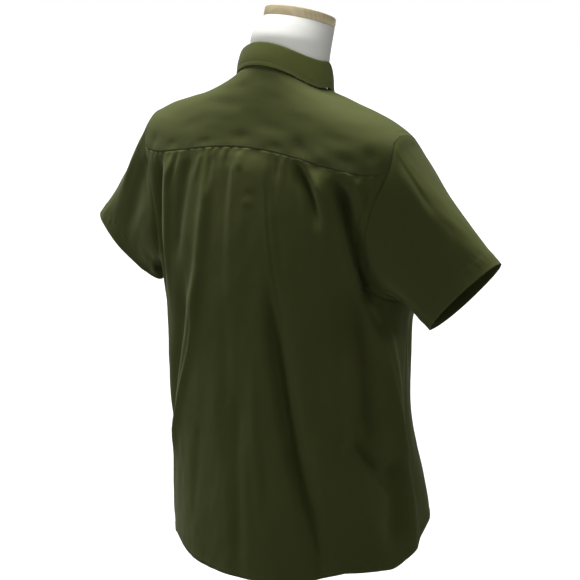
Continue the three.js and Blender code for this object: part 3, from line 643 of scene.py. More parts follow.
clothLook = {
    "shade": (0.093, 0.107, 0.026),
    "light": (0.117, 0.133, 0.036),
    # The paler colour: real fading at the edges, and painted sheen on the whole yoke.
    "worn": (0.150, 0.164, 0.066),
    "threadPitch": 0.00085,
    "roughness": 0.86,
}


def makeCloth():
    look = Finish("shirt_cloth")
    blotch, fine = look.noise(7, 3, 0.55), look.noise(420, 2, 0.6)
    uv = look.node("ShaderNodeUVMap", {"uv_map": "cloth"})
    apart = addNode(look.tree, "ShaderNodeSeparateXYZ", Vector=uv)
    turns = 2 * math.pi / clothLook["threadPitch"]
    warp, weft = ((Flow(look.tree, apart.outputs[axis]) * turns).sine() for axis in (0, 1))
    slub = look.noise(260, 2, 0.5, at=uv)
    wear_and_sheen = look.node("ShaderNodeAttribute", {"attribute_name": "wear_and_sheen"}, output=2)
    tone = look.mixColour(blotch * 1.3 - 0.15 + fine * 0.3 - 0.15, clothLook["shade"], clothLook["light"])
    # Paler by this attribute: real fading at hems, seams and edges, and painted sheen all over the yoke.
    tone = look.mixColour(wear_and_sheen * 0.55, tone, clothLook["worn"])
    bump = look.bump(warp * weft * 0.5 + slub * 0.9 + fine * 0.4, 0.22, 0.0002)
    return look.set(BaseColor=tone, Roughness=fine * 0.1 + (clothLook["roughness"] - 0.05), Normal=bump,
                    SheenWeight=0.05, SheenRoughness=0.6, SpecularIORLevel=0.18)


def makeThread():
    look = Finish("olive_thread")
    ply = look.noise(900, 2, 0.6)
    tone = look.mixColour(ply, (0.045, 0.050, 0.022), (0.085, 0.092, 0.048))
    return look.set(BaseColor=tone, Roughness=ply * 0.15 + 0.55, Normal=look.bump(ply, 0.3, 0.0001), SheenWeight=0.1)


def makeButtonPlastic():
    look = Finish("olive_button")
    cloud = look.noise(160, 4, 0.6, 1.2)
    tone = look.mixColour(cloud, (0.030, 0.030, 0.016), (0.075, 0.072, 0.040))
    return look.set(BaseColor=tone, Roughness=cloud * 0.15 + 0.28, CoatWeight=0.25, CoatRoughness=0.2)


def makeFormCover():
    look = Finish("form_cover")
    knit, soil = look.noise(900, 2, 0.5), look.noise(5, 4, 0.6)
    tone = look.mixColour(soil, (0.80, 0.80, 0.75), (0.84, 0.84, 0.80))
    return look.set(BaseColor=tone, Roughness=knit * 0.1 + 0.72, Normal=look.bump(knit, 0.15, 0.0002), SheenWeight=0.1)


def makeWood():
    look = Finish("cap_wood")
    stretched = look.node("ShaderNodeMapping", Vector=look.place(), Scale=(6.0, 60.0, 60.0))
    grain = look.noise(1.6, 6, 0.6, 0.8, at=stretched)
    rings = look.node("ShaderNodeTexWave", {"wave_type": "BANDS", "bands_direction": "Y"}, output=1,
                      Vector=stretched, Scale=0.9, Distortion=3.0, Detail=3.0)
    tone = look.mixColour(grain * 0.7 + rings * 0.3, (0.47, 0.38, 0.20), (0.66, 0.57, 0.36))
    return look.set(BaseColor=tone, Roughness=grain * 0.2 + 0.38, Normal=look.bump(grain, 0.12, 0.0005),
                    CoatWeight=0.15, CoatRoughness=0.3)


def makeStandPaint():
    look = Finish("stand_paint")
    peel, scuff = look.noise(260, 3, 0.5), look.noise(14, 5, 0.65)
    tone = look.mixColour(scuff, (0.60, 0.59, 0.56), (0.70, 0.69, 0.67))
    return look.set(BaseColor=tone, Roughness=scuff * 0.2 + 0.3, Normal=look.bump(peel, 0.08, 0.0004),
                    CoatWeight=0.2, CoatRoughness=0.25)


shirtCloth = makeCloth()
thread = makeThread()
buttonPlastic = makeButtonPlastic()
formCover = makeFormCover()
capWood = makeWood()
standPaint = makeStandPaint()
print("scene: materials made")

stitchRows = []  # every row of stitches as a line of points and the normals along it


def sew(points, normals, thickness=None):
    raised = points + normals * ((thickness or cloth["thickness"]) / 2 + stitch["lift"])
    stitchRows.append((raised, normals))


def dress(piece, material, slotName, *nodes):
    piece.data.materials.append(material)
    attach(piece, "root")
    if nodes:
        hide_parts(*nodes)
    return piece


def turnedBand(far, width, rise=0.45):
    # A turned edge: double cloth as far as its row of stitches, which draws it in.
    return rise * fall(width - 0.6, width + 0.9, far) - 0.35 * bell(far, 1.1, width - 1.2)


def pucker(run, far, width, seed, depth=0.32):
    return depth * softNoise(run / 5.5, far / 14, seed) * bell(far, 9, width)


def hemShift(run, aboveHem, seed):
    return turnedBand(aboveHem, hem["band"]) + pucker(run, aboveHem, hem["band"] - 1, seed)


def edgeWear(far, reach, amount=0.8):
    return amount * np.exp(-far / reach)


class Panel:
    # A panel of the body: its grid of turns and levels, the body under it and, once made, its cloth.
    def __init__(self, grid):
        self.turn, self.level = grid[..., 0], grid[..., 1]
        self.base = bodyPoint(self.turn, self.level)
        self.outward = surfaceNormal(bodyPoint, self.turn, self.level)
        self.run, self.z = runAt(self.turn), self.base[..., 2]

    def far(self, *edges):
        return np.minimum.reduce([fromEdge(self.base, edge) for edge in edges])

    def smallFolds(self):
        return foldShift(creaseLines, creases, self.run, self.z) + crumpleShift(self.run, self.z)

    def make(self, name, node, fine, insets, up, wear_and_sheen):
        # The cloth with its large folds, moved out by the finer shifts.
        shift = largeShift(self.turn, self.level) + fine
        self.points = insetEdges(self.base + self.outward * shift[..., None], insets)
        self.normals = gridNormals(self.points, self.outward)
        return clothPiece(name, node, self.points, self.normals, (self.run, up), wear_and_sheen)

    def sew(self, edge, row, start=0, end=None):
        sew(*lineInside(self.points, self.normals, edge, rowFrom[row], start, end))


# Back panel

back = {"columns": 250, "sideRows": 118, "fade": 0.35}


def makeBack():
    rows = back["sideRows"]
    right = np.concatenate([sideSeam(rows), armholeRun(0, armhole["yokeBackKnot"])[1:]])
    across = np.linspace(-1, 1, back["columns"] + 1)
    low, high = across * body["sideSeamTurn"], across * yokeEndTurn
    bottom, top = places(low, hemLevel(low)), places(high, yokeLevel(high))
    panel = Panel(fillBetween(bottom, top, mirrored(right), right, back["fade"]))
    belowSeam, aboveHem, beside = panel.far("top"), panel.far("bottom"), panel.far("left", "right")
    fine = panel.smallFolds() * smooth(0, 14, belowSeam) * smooth(0, 12, beside)
    fine += gatherShift(panel.run, belowSeam) - 0.2 * np.exp(-belowSeam / 3)
    fine += 0.7 * smooth(2, 16, belowSeam) * fall(16, 90, belowSeam)
    fine += hemShift(panel.run, aboveHem, 3)
    fine += 0.5 * bell(beside, 3.5, 4) + pucker(panel.z, beside, 5, 4, 0.3) * smooth(0, 4, beside)
    side = np.where(np.arange(len(right)) < rows, cloth["seamInset"], cloth["armholeInset"])
    piece = panel.make("shirt_back", "back_panel", fine, {"left": side, "right": side, "top": -cloth["yokeTuck"]},
                       panel.z, edgeWear(aboveHem, 2.5) + edgeWear(beside, 2, 0.3))
    panel.sew("bottom", "hem")
    for edge in ("left", "right"):
        panel.sew(edge, "seam", end=rows)
        panel.sew(edge, "seamSecond", end=rows - 4)


# Yoke

yoke = {"rows": 64, "backSamples": 110, "fade": 0.35}
dents = {  # soft hollows above the back seam: turn, distance up from the seam, half sizes and depth
    "columns": ("turn", "up", "across", "tall", "depth"),
    "rows": [
        (-3, 15, 17, 9, 2.0), (22, 17, 10, 12, 2.4), (31, 13, 9, 10, -1.6), (43, 14, 13, 9, 2.4),
        (55, 24, 10, 12, 2.2), (-20, 9, 12, 6, 1.0), (-38, 10, 10, 7, 1.2), (12, 8, 9, 6, 1.2),
        (-52, 16, 9, 12, 1.2), (8, 34, 26, 9, 0.9), (-30, 42, 22, 12, 0.9), (38, 46, 20, 12, 1.0),
    ],
}


def makeYoke():
    over = armholeRun(armhole["yokeBackKnot"], armhole["yokeFrontKnot"])
    seamTurn = np.linspace(-yokeEndTurn, yokeEndTurn, yoke["backSamples"] + 1)
    backSeam = places(seamTurn, yokeLevel(seamTurn))
    outside = np.concatenate([mirrored(over)[::-1], backSeam[1:-1], over])
    neckTurn = np.linspace(-body["frontYokeTurn"], body["frontYokeTurn"], len(outside))
    right, neck = frontYokeSeam(yoke["rows"]), places(neckTurn, body["neckLevel"])
    panel = Panel(fillBetween(outside, neck, mirrored(right), right, yoke["fade"]))
    run, up = panel.run, panel.far("bottom")
    fine = 0.1 * bell(up, 9) - 0.1 * bell(up, 0.9, 2) + 0.2 * pucker(run, up, 3, 8, 1.6)
    onBack = fall(yokeEndTurn - 6, yokeEndTurn + 2, np.abs(panel.turn))
    for dent in rowsOf(dents):
        shape = bell(run, dent["across"], runAt(dent["turn"])) * bell(up, dent["tall"], dent["up"])
        fine -= dent["depth"] * shape * onBack
    fine += 0.6 * bell(panel.far("left", "right"), 5)
    below = smooth(0.05, 0.6, body["neckLevel"] - panel.level)
    fine += 0.5 * softNoise(run / 45 + 3, panel.level * 3, 21) * smooth(0, 12, up) * below
    insets = {"left": cloth["seamInset"], "right": cloth["seamInset"],
              "bottom": cloth["armholeInset"], "top": cloth["armholeInset"]}
    # The 0.12 added all over the yoke is painted sheen: it paints the whole yoke paler, the top of the shirt lit from
    # above; the edgeWear part is real fading at its edges.
    piece = panel.make("shirt_yoke", "yoke", fine, insets, up, edgeWear(up, 1.5, 0.35) + 0.12)
    panel.sew("bottom", "yoke")
    panel.sew("bottom", "yokeSecond", end=len(over) - 4)
    panel.sew("bottom", "yokeSecond", start=len(outside) - len(over) + 4)
    for edge in ("left", "right"):
        panel.sew(edge, "frontSeam", start=3, end=-3)


# Fronts: side is 1 for the wearer's right, which lies under, and -1 for the left.

fronts = {"columns": 92, "sideRows": 118, "yokeRows": 24, "fade": 0.7, "band": 32}
rowFrom["band"] = fronts["band"] - 2


def makeFront(side, name, node):
    rows = fronts["sideRows"]
    armholeEdge = armholeRun(armhole["yokeFrontKnot"], len(armhole["knots"]))[::-1]
    left = np.concatenate([sideSeam(rows), armholeEdge[1:], frontYokeSeam(fronts["yokeRows"])[1:]])
    part = np.linspace(0, 1, fronts["columns"] + 1)
    hemTurn = mix(body["sideSeamTurn"], frontEdgeTurn, part)
    bottom = places(hemTurn, hemLevel(hemTurn))
    top = places(mix(body["frontYokeTurn"], frontEdgeTurn, part), body["neckLevel"])
    right = places(frontEdgeTurn, mix(bottom[-1, 1], body["neckLevel"], rowShares(left)))
    grid = fillBetween(bottom, top, left, right, fronts["fade"])
    panel = Panel(grid if side > 0 else mirrored(grid))
    aboveHem, beside, fromFront = panel.far("bottom"), panel.far("left"), panel.far("right")
    fine = panel.smallFolds() * smooth(0, 14, beside) * smooth(0, 40, fromFront)
    fine += hemShift(panel.run, aboveHem, 13) + turnedBand(fromFront, fronts["band"], 0.4)
    fine += 0.5 * bell(beside, 3.5, 4)
    if side > 0:
        fine -= lapUnder(panel.turn) + 0.4 * fall(0, 34, fromFront)
    row = np.arange(len(left))
    onArmhole = (row >= rows) & (row < len(left) - fronts["yokeRows"])
    insets = {"left": np.where(onArmhole, cloth["armholeInset"], cloth["seamInset"]), "top": cloth["armholeInset"]}
    piece = panel.make(name, node, fine, insets, panel.z, edgeWear(aboveHem, 2.5) + edgeWear(fromFront, 2.5, 0.5))
    panel.sew("bottom", "hem")
    panel.sew("left", "frontSeam", start=4, end=rows - 2)
    if side < 0:
        panel.sew("right", "frontEdge", start=2, end=-2)
    panel.sew("right", "band", start=2, end=-3)


# Sleeves

def makeSleeve(side, name, node):
    shape, leave = sleeves["right" if side > 0 else "left"], sleeves["leave"]
    out, slant = -side, math.radians(shape["slant"])
    longWay = np.array([out * math.sin(slant), 0, math.cos(slant)])
    outwards = np.array([out * math.cos(slant), 0, -math.sin(slant)])
    ring = armholeRun(0, len(armhole["knots"]))[:-1]
    count, top = len(ring), armhole["shoulderKnot"] * armhole["samples"]
    index = np.arange(count)
    angle = np.where(index <= top, math.pi * (1 - index / top), -math.pi * (index - top) / (count - top))
    start = clothPoint(side * ring[:, 0], ring[:, 1])
    end = (np.array([out * shape["x"], shape["y"], shape["z"]]) + np.outer(np.cos(angle), longWay) * shape["long"]
           + np.outer(np.sin(angle), [0, 1, 0]) * shape["short"])
    length = np.linalg.norm(start - end, axis=1)[:, None]
    overTop = (1 + np.cos(angle)) / 2
    direction = np.stack([out * mix(leave["under"], shape["leaveOver"], overTop), overTop * 0,
                          -mix(leave["underDown"], leave["overDown"], overTop)], -1)
    first = start + direction * length / 3
    second = end - outwards * leave["arrive"] * length / 3
    along = np.linspace(0, 1, sleeves["rows"] + 1)[None]
    part = mix(-cloth["tuck"] / length, 1, along)[..., None]
    points = (start[:, None] * (1 - part) ** 3 + 3 * first[:, None] * part * (1 - part) ** 2
              + 3 * second[:, None] * part ** 2 * (1 - part) + end[:, None] * part ** 3)
    centre = points.mean(0, keepdims=True)
    fine = np.zeros(points.shape[:2])
    for fold in rowsOf(sleeves, "foldColumns", "folds"):
        middle, reach = (fold["start"] + fold["end"]) / 2, (fold["end"] - fold["start"]) / 2
        bent = np.degrees(angle)[:, None] + 10 * (along - 0.4) * np.sign(fold["angle"])
        inside = fall(0.4, 1, np.abs(along - middle) / reach) * smooth(0, 0.15, along)
        fine += fold["rise"] * inside * bell(bent, fold["width"], fold["angle"])
    far, begun = fromEdge(points, "top"), fromEdge(points, "bottom")
    run = angle[:, None] * sleeves["runRadius"] + along * 0
    crumpled = 0.9 * softNoise(run / 30 + 40, far / 60, 31 + side) + 0.45 * softNoise(run / 14, far / 26, 34 + side)
    fine += crumpled * smooth(4, 26, begun)
    fine += turnedBand(far, sleeves["hemBand"]) + pucker(run, far, sleeves["hemBand"] - 2, 36 + side, 0.5)
    fine += 0.5 * bell(begun, 7, 9) - 0.3 * bell(begun, 3, 2)
    points = points + gridNormals(points, points - centre, closed=True) * fine[..., None]
    normals = gridNormals(points, points - centre, closed=True)
    wear_and_sheen = edgeWear(far, 2.2) + edgeWear(begun, 3, 0.15)
    piece = clothPiece(name, node, points, normals, (run, far), wear_and_sheen, closed=True)
    sew(*lineInside(points, normals, "top", rowFrom["sleeveHem"]))


# Collar

standLean = math.radians(collar["lean"])
standUp = np.array([0, -math.sin(standLean), math.cos(standLean)])


def standTop(turn):
    side = np.where(turn > 0, collar["rightRise"], collar["leftRise"]) * np.sin(np.radians(turn)) ** 2
    return mix(collar["standHeight"] + side, collar["frontHeight"], smooth(84, 118, np.abs(turn)))


def neckline(turn):
    return bodyPoint(turn, body["neckLevel"])


def outFromNeck(turn):
    return np.stack([-np.sin(np.radians(turn)), np.cos(np.radians(turn)), np.zeros(np.shape(turn))], -1)


def makeStand():
    columns, rows = collar["standGrid"]
    turn = np.linspace(-frontEdgeTurn, frontEdgeTurn, columns)
    out = outFromNeck(turn)
    foot = neckline(turn) - out * lapUnder(turn)[:, None]
    rise = mix(collar["seamClear"], standTop(turn)[:, None], np.linspace(0, 1, rows)[None])
    points = foot[:, None] + rise[..., None] * standUp
    normals = gridNormals(points, out[:, None])
    low = fromEdge(points, "bottom")
    run = np.broadcast_to(runAt(turn)[:, None] * collar["neckShare"], low.shape)
    piece = clothPiece("shirt_collar_stand", "collar_stand", points, normals, (run, low), edgeWear(low, 2, 0.2),
                       cloth["standThickness"])
    sew(*lineInside(points, normals, "bottom", rowFrom["stand"], start=2, end=-2))


def belowNeckline(turn, drop):
    level = np.full(turn.shape, float(body["neckLevel"]))
    for step in range(600):
        short = np.linalg.norm(bodyPoint(turn, level) - neckline(turn), axis=-1) < drop
        if not short.any():
            break
        level = level - 0.01 * short
    return bodyPoint(turn, level) + surfaceNormal(bodyPoint, turn, level) * collar["lift"]


def makeLeaf():
    columns, rows = collar["leafGrid"]
    across = np.linspace(-1, 1, columns)
    topTurn, lowTurn = across * collar["endTurn"], across * collar["pointTurn"]
    out = outFromNeck(topTurn)

    def above(up, outward):
        rise = standTop(topTurn) + collar["leafClear"] + up
        return neckline(topTurn) + standUp * rise[:, None] + out * outward

    def leafNormals(points):
        # They point outwards where the leaf hangs at the centre back.
        normals, middle = gridNormals(points), columns // 2
        return normals if np.dot(normals[middle, rows * 2 // 3], out[middle]) > 0 else -normals

    crest = above(3.4, 2.8)
    atPoint = smooth(collar["fallTurn"], collar["pointTurn"], np.abs(lowTurn))
    edge = belowNeckline(lowTurn, mix(collar["backDrop"], collar["pointDrop"], atPoint))
    middle = mix(crest, edge, 0.5) + out * 1.6
    knots = np.stack([above(0, 0), above(3, 1), crest, middle, edge], 1)
    chords = np.sqrt(np.linalg.norm(np.diff(knots, axis=1), axis=-1)).mean(0)
    at = np.concatenate([[0], np.cumsum(chords)])
    spot = np.interp(np.linspace(0, at[-1], rows), at, np.arange(5))
    points = np.stack([curveThrough(line, spot) for line in knots])
    up = fromEdge(points, "top")
    fromRim = np.minimum.reduce([up, fromEdge(points, "left"), fromEdge(points, "right")])
    run = np.broadcast_to((across * collar["halfLength"])[:, None], up.shape)
    fine = 0.35 * bell(fromRim, 3, 3) + 0.7 * softNoise(run / 30 + 5, up / 22, 41) * smooth(2, 14, fromRim)
    fine = (fine - 0.3 * bell(fromRim, 1, 6)) * smooth(0, 8, fromEdge(points, "bottom"))
    points = points + leafNormals(points) * fine[..., None]
    normals = leafNormals(points)
    piece = clothPiece("shirt_collar_leaf", "collar_leaf", points, normals, (run, up), edgeWear(fromRim, 2, 0.7),
                       cloth["collarThickness"])
    for edge, start, end in (("top", 3, -3), ("left", 14, -6), ("right", 14, -6)):
        sew(*lineInside(points, normals, edge, rowFrom["leaf"], start, end), thickness=cloth["collarThickness"])


makeBack()
print("scene: back made")
makeYoke()
makeFront(1, "shirt_front_right", "front_right")
makeFront(-1, "shirt_front_left", "front_left")
print("scene: yoke and fronts made")
makeSleeve(1, "shirt_sleeve_right", "sleeve_right")
makeSleeve(-1, "shirt_sleeve_left", "sleeve_left")
makeStand()
makeLeaf()
print("scene: sleeves and collar made")


# Stitches along every row, by Geometry Nodes

def stitchTree():
    tree = bpy.data.node_groups.new("stitch_rows", "GeometryNodeTree")
    addSocket = tree.interface.new_socket
    addSocket("Rows", in_out="INPUT", socket_type="NodeSocketGeometry")
    for name in ("Pitch", "Length", "Width", "Height"):
        socket = addSocket(name, in_out="INPUT", socket_type="NodeSocketFloat")
        socket.default_value = stitch[name.lower()] * metre
    addSocket("Thread", in_out="INPUT", socket_type="NodeSocketMaterial")
    addSocket("Stitches", in_out="OUTPUT", socket_type="NodeSocketGeometry")

    def node(kind, settings=None, **values):
        return addNode(tree, kind, settings, **values).outputs[0]

    given = tree.nodes.new("NodeGroupInput").outputs
    rows = node("GeometryNodeMeshToCurve", Mesh=given["Rows"])
    even = node("GeometryNodeResampleCurve", {"mode": "LENGTH"}, Curve=rows, Length=given["Pitch"])
    up = addNode(tree, "GeometryNodeInputNamedAttribute", {"data_type": "FLOAT_VECTOR"}, Name="up")
    upright = node("FunctionNodeAlignRotationToVector", {"axis": "Z"}, Vector=up.outputs["Attribute"])
    turned = node("FunctionNodeAlignRotationToVector", {"axis": "X", "pivot_axis": "Z"},
                  Rotation=upright, Vector=node("GeometryNodeInputTangent"))
    size = node("ShaderNodeCombineXYZ", X=given["Length"], Y=given["Width"], Z=given["Height"])
    bead = node("GeometryNodeMeshIcoSphere", Radius=0.5, Subdivisions=1)
    each = node("GeometryNodeInstanceOnPoints", Points=even, Instance=bead, Rotation=turned, Scale=size)
    soft = node("GeometryNodeSetShadeSmooth", Geometry=node("GeometryNodeRealizeInstances", Geometry=each))
    dyed = node("GeometryNodeSetMaterial", Geometry=soft, Material=given["Thread"])
    tree.links.new(dyed, tree.nodes.new("NodeGroupOutput").inputs[0])
    return tree


def makeStitches():
    edges, first = [], 0
    for line, normals in stitchRows:
        edges += [(first + i, first + i + 1) for i in range(len(line) - 1)]
        first += len(line)
    mesh = newMesh("stitch_rows", np.concatenate([line for line, normals in stitchRows]), edges)
    ups = np.concatenate([normals for line, normals in stitchRows]).astype(np.float32)
    mesh.attributes.new("up", "FLOAT_VECTOR", "POINT").data.foreach_set("vector", ups.ravel())
    rows = addObject("stitch_rows", mesh)
    modifier = rows.modifiers.new("stitches", "NODES")
    modifier.node_group = stitchTree()
    inputs = {item.name: item.identifier for item in modifier.node_group.interface.items_tree if item.in_out == "INPUT"}
    modifier[inputs["Thread"]] = thread
    plain = settledMesh(rows)
    bpy.data.objects.remove(rows)
    piece = addObject("seam_stitches", plain)
    if not plain.materials:
        plain.materials.append(thread)
    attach(piece, "root")
    print("scene: stitches made,", len(plain.polygons), "faces")


makeStitches()


# Turned pieces: buttons and the dress form

def spinTo(axis):
    return Vector((0, 0, 1)).rotation_difference(Vector(axis))


def turned(name, profile, segments, place=(0, 0, 0), axis=(0, 0, 1)):
    # A profile of radius and height round an axis, closed at both ends on the axis.
    mesh = bmesh.new()
    verts = [mesh.verts.new((r * metre, 0, h * metre)) for r, h in profile]
    edges = [mesh.edges.new(pair) for pair in zip(verts, verts[1:])]
    bmesh.ops.spin(mesh, geom=verts + edges, cent=(0, 0, 0), axis=(0, 0, 1), angle=2 * math.pi, steps=segments)
    bmesh.ops.remove_doubles(mesh, verts=mesh.verts, dist=1e-6)
    bmesh.ops.recalc_face_normals(mesh, faces=mesh.faces)
    placed = Matrix.Translation(Vector(place) * metre) @ spinTo(axis).to_matrix().to_4x4()
    bmesh.ops.transform(mesh, matrix=placed, verts=mesh.verts)
    data = bpy.data.meshes.new(name)
    mesh.to_mesh(data)
    mesh.free()
    data.polygons.foreach_set("use_smooth", [True] * len(data.polygons))
    data.set_sharp_from_angle(angle=math.radians(32))
    return addObject(name, data)


button = {
    "heights": [772, 686, 600, 514, 428, 342],
    "radius": 5.6, "thickness": 2.4, "rim": 1.5, "dish": 0.6, "hole": 0.75, "holeRing": 1.5, "clear": 0.35,
    "threadRadius": 0.28, "threadArch": 0.25,
}


def buttonProfile():
    r, t, rim, dish = (button[k] for k in ("radius", "thickness", "rim", "dish"))
    return [(0, 0.15), (r - 1.4, 0.15), (r - 0.5, 0.35), (r, 1.0), (r, t - 0.7), (r - 0.25, t - 0.2),
            (r - 0.7, t), (r - rim, t - 0.1), (r - rim - 0.8, t - dish), (0, t - dish)]


def makeButton(name, seat, outward, node):
    seat, outward = Vector(seat), Vector(outward)
    piece = turned(name, buttonProfile(), 40, seat, outward)
    spin, ring, radius = spinTo(outward), button["holeRing"], button["hole"] * metre
    drill = bmesh.new()
    for quarter in range(4):
        angle = math.pi / 4 + quarter * math.pi / 2
        hole = Vector((math.cos(angle) * ring, math.sin(angle) * ring, button["thickness"] / 2))
        placed = Matrix.Translation((seat + spin @ hole) * metre) @ spin.to_matrix().to_4x4()
        bmesh.ops.create_cone(drill, cap_ends=True, segments=12, radius1=radius, radius2=radius,
                              depth=8 * metre, matrix=placed)
    drillMesh = bpy.data.meshes.new("drill")
    drill.to_mesh(drillMesh)
    drill.free()
    drillPiece = addObject("drill", drillMesh)
    cut = piece.modifiers.new("holes", "BOOLEAN")
    cut.operation, cut.object, cut.solver = "DIFFERENCE", drillPiece, "EXACT"
    drilled = settledMesh(piece)
    piece.modifiers.clear()
    piece.data = drilled
    bpy.data.objects.remove(drillPiece)
    dress(piece, buttonPlastic, "button_plastic", node)
    top = button["thickness"] - button["dish"]
    for way in (Vector((1, 1, 0)).normalized(), Vector((-1, 1, 0)).normalized()):
        across = [(float(p), top + button["threadArch"] * float(1 - p * p)) for p in np.linspace(-1, 1, 9)]
        arch = [seat + spin @ (way * p * ring + Vector((0, 0, height))) for p, height in across]
        threads.append([tuple(a * metre) for a in arch])


threads = []


def makeButtons():
    turn = np.array(-180.0)
    for number, z in enumerate(button["heights"], 1):
        level = levelAt(turn, z)
        outward = surfaceNormal(clothPoint, turn, level)
        seat = clothPoint(turn, level) + outward * (cloth["solidHalf"] + button["clear"])
        makeButton(f"button_face_{number}", seat, outward, f"button_{number}")
    outward = np.array([0, -math.cos(standLean), -math.sin(standLean)])
    seat = neckline(turn) + standUp * collar["frontHeight"] / 2 + outward * (cloth["solidHalf"] + button["clear"])
    makeButton("button_face_stand", seat, outward, "button_stand")
    curve = bpy.data.curves.new("button_threads", "CURVE")
    curve.dimensions, curve.bevel_depth, curve.bevel_resolution = "3D", button["threadRadius"] * metre, 1
    for line in threads:
        spline = curve.splines.new("POLY")
        spline.points.add(len(line) - 1)
        for point, place in zip(spline.points, line):
            point.co = (*place, 1)
    carrier = addObject("button_threads_curve", curve)
    data = settledMesh(carrier)
    bpy.data.objects.remove(carrier)
    data.materials.clear()
    dress(addObject("button_threads", data), thread, "shirt_cloth")


makeButtons()
print("scene: buttons made")


# Dress form

def formPoint(turn, level):
    far = np.abs(turn)
    slim = form["slim"] * fall(6.7, 7.6, level)
    arm = form["arm"] * np.sin(np.radians(far)) ** 4 * smooth(4, 5.2, level) * fall(7, 7.8, level)
    neck = form["neckClear"] * smooth(8, 9, level) + form["frontClear"] * smooth(125, 155, far)
    depth = cloth["solidHalf"] + form["clear"] + slim + arm + neck
    point = bodyPoint(far, level) - surfaceNormal(bodyPoint, far, level) * depth[..., None]
    point[..., 0] *= np.where(turn < 0, -1, 1)
    return point


def makeForm():
    turn = np.linspace(-180, 180, form["columns"] + 1)[:-1]
    rings = [formPoint(turn, np.full(turn.shape, float(level))) for level in form["levels"]]
    rings[0][:, 2] = form["endZ"]
    across, back = np.sin(np.radians(turn)), np.cos(np.radians(turn))
    for y, z, radius, lean in form["neckRings"]:
        tilt = math.radians(lean)
        rings.append(np.stack([-radius * across, y + radius * back * math.cos(tilt),
                               z + radius * back * math.sin(tilt)], -1))
    rings = np.stack(rings, 1)
    at = np.concatenate([[0, 0.04], np.linspace(0.3, rings.shape[1] - 1, 110)])
    fine = np.stack([curveThrough(line, at) for line in rings])
    columns, rows = fine.shape[:2]
    vertices = np.concatenate([fine.reshape(-1, 3), fine[:, :1].mean(0), fine[:, -1:].mean(0)])
    faces = []
    for column in range(columns):
        here, beside = column * rows, ((column + 1) % columns) * rows
        faces += [(here + r, beside + r, beside + r + 1, here + r + 1) for r in range(rows - 1)]
        faces += [(columns * rows, beside, here), (columns * rows + 1, here + rows - 1, beside + rows - 1)]
    mesh = newMesh("form_torso", vertices, faces=faces)
    mesh.set_sharp_from_angle(angle=math.radians(40))
    dress(addObject("form_torso", mesh), formCover, "form_cover", "form_body")
    y, z, _, lean = form["neckRings"][-1]
    axis = Vector((0, -math.sin(math.radians(lean)), math.cos(math.radians(lean))))
    r, t, gap = form["capRadius"], form["capThickness"], form["gap"]
    profile = [(0, 0), (r - 1.6, 0), (r - 0.5, 0.5), (r, 1.6), (r, t - 2.2), (r - 0.6, t - 0.8), (r - 2, t),
               (r * 0.5, t + 0.8), (0, t + 1)]
    dress(turned("neck_cap", profile, 96, Vector((0, y, z)) + axis * gap, axis), capWood, "cap_wood", "form_neck_cap")
    r, low, high = form["poleRadius"], form["baseThickness"] + gap, form["endZ"] - gap
    profile = [(0, low), (r, low), (r, high), (0, high)]
    dress(turned("stand_pole", profile, 64), standPaint, "stand_paint", "form_pole")
    r, t = form["baseRadius"], form["baseThickness"]
    profile = [(0, 0), (r - 1, 0), (r, 1), (r, t - 3), (r - 0.9, t - 0.9), (r - 3, t), (0, t)]
    dress(turned("stand_foot", profile, 128), standPaint, "stand_paint", "form_base")


makeForm()
print("scene: dress form made")


# Studio

def lookFrom(place, target):
    return (Vector(target) - Vector(place)).to_track_quat("-Z", "Y").to_euler()


def makeCamera():
    azimuth, elevation = math.radians(camera["azimuth"]), math.radians(camera["elevation"])
    flat = math.cos(elevation)
    away = Vector((math.sin(azimuth) * flat, -math.cos(azimuth) * flat, math.sin(elevation)))
    target = Vector((0, 0, camera["targetZ"] * metre))
    data = bpy.data.cameras.new("camera")
    data.sensor_width = camera["sensor"]
    data.lens = camera["sensor"] * camera["distance"] / (camera["pixels"] * camera["millimetresPerPixel"])
    seen = addObject("camera", data)
    seen.location = target + away * camera["distance"] * metre
    seen.rotation_euler = lookFrom(seen.location, target)
    bpy.context.scene.camera = seen


studio = {
    "floor": 14, "world": 0.12,
    "sun": 4.35, "sunSoftness": 24, "sunFrom": (0.3, -0.09, 1.0),
    "fill": 11, "fillSize": 1.2, "fillFrom": (2.2, 2.9, 1.5),
    "side": 7, "sideFrom": (-3.2, -0.5, 1.7),
    "formFill": 38, "formFillFrom": (-1.4, 2.6, 1.6), "frontFillFrom": (1.2, -2.7, 1.6),
}


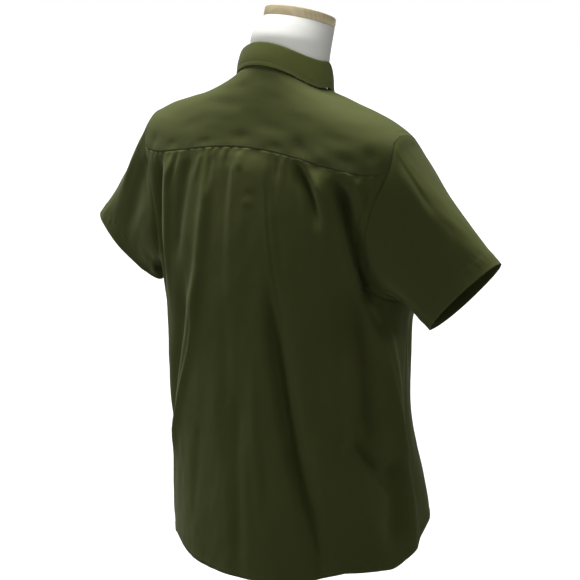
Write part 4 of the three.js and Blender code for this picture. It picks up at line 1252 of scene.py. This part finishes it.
def addLamp(name, kind, place, target, only=None, **values):
    data = bpy.data.lights.new(name, kind)
    for key, value in values.items():
        setattr(data, key, value)
    lamp = addObject(name, data)
    lamp.location = place
    lamp.rotation_euler = lookFrom(place, target)
    if only:
        lamp.light_linking.receiver_collection = bpy.data.collections.new(name + "_lights")
        for piece in only:
            lamp.light_linking.receiver_collection.objects.link(bpy.data.objects[piece])


def makeStudio():
    half = studio["floor"] / 2
    mesh = bpy.data.meshes.new("floor")
    mesh.from_pydata([(-half, -half, 0), (half, -half, 0), (half, half, 0), (-half, half, 0)], [], [(0, 1, 2, 3)])
    floor = addObject("floor", mesh)
    mesh.materials.append(Finish("floor_pale").set(BaseColor=(0.93, 0.93, 0.93), Roughness=0.9, SpecularIORLevel=0.1))
    floor.visible_diffuse = False  # the floor is seen, but throws no light up under the cloth
    world = bpy.data.worlds.new("studio")
    bpy.context.scene.world = world
    world.use_nodes = True
    tree = world.node_tree
    seen, lit = tree.nodes["Background"], tree.nodes.new("ShaderNodeBackground")
    for light, strength in ((seen, 1.0), (lit, studio["world"])):
        giveNamed(tree, light, {"Color": (1, 1, 1), "Strength": strength})
    path, either = tree.nodes.new("ShaderNodeLightPath"), tree.nodes.new("ShaderNodeMixShader")
    for source, place in ((path.outputs["Is Camera Ray"], 0), (lit.outputs[0], 1), (seen.outputs[0], 2)):
        giveSocket(tree, either.inputs[place], source)
    giveNamed(tree, tree.nodes["World Output"], {"Surface": either.outputs[0]})
    sunFrom = Vector(studio["sunFrom"]) * 4
    addLamp("overhead", "SUN", sunFrom, (0, 0, 0), energy=studio["sun"], angle=math.radians(studio["sunSoftness"]))
    for name in ("fill", "side"):
        addLamp(name, "AREA", studio[name + "From"], (0, 0, 0.7),
                energy=studio[name], shape="DISK", size=studio["fillSize"])
    for name, place in (("form_fill_back", studio["formFillFrom"]), ("form_fill_front", studio["frontFillFrom"])):
        addLamp(name, "AREA", place, (0, 0, 0.95), only=("form_torso", "neck_cap", "shirt_collar_leaf"),
                energy=studio["formFill"], shape="DISK", size=studio["fillSize"] * 2)
    bpy.context.scene.view_settings.view_transform = "Standard"


makeCamera()
makeStudio()
print("scene: camera and light set")
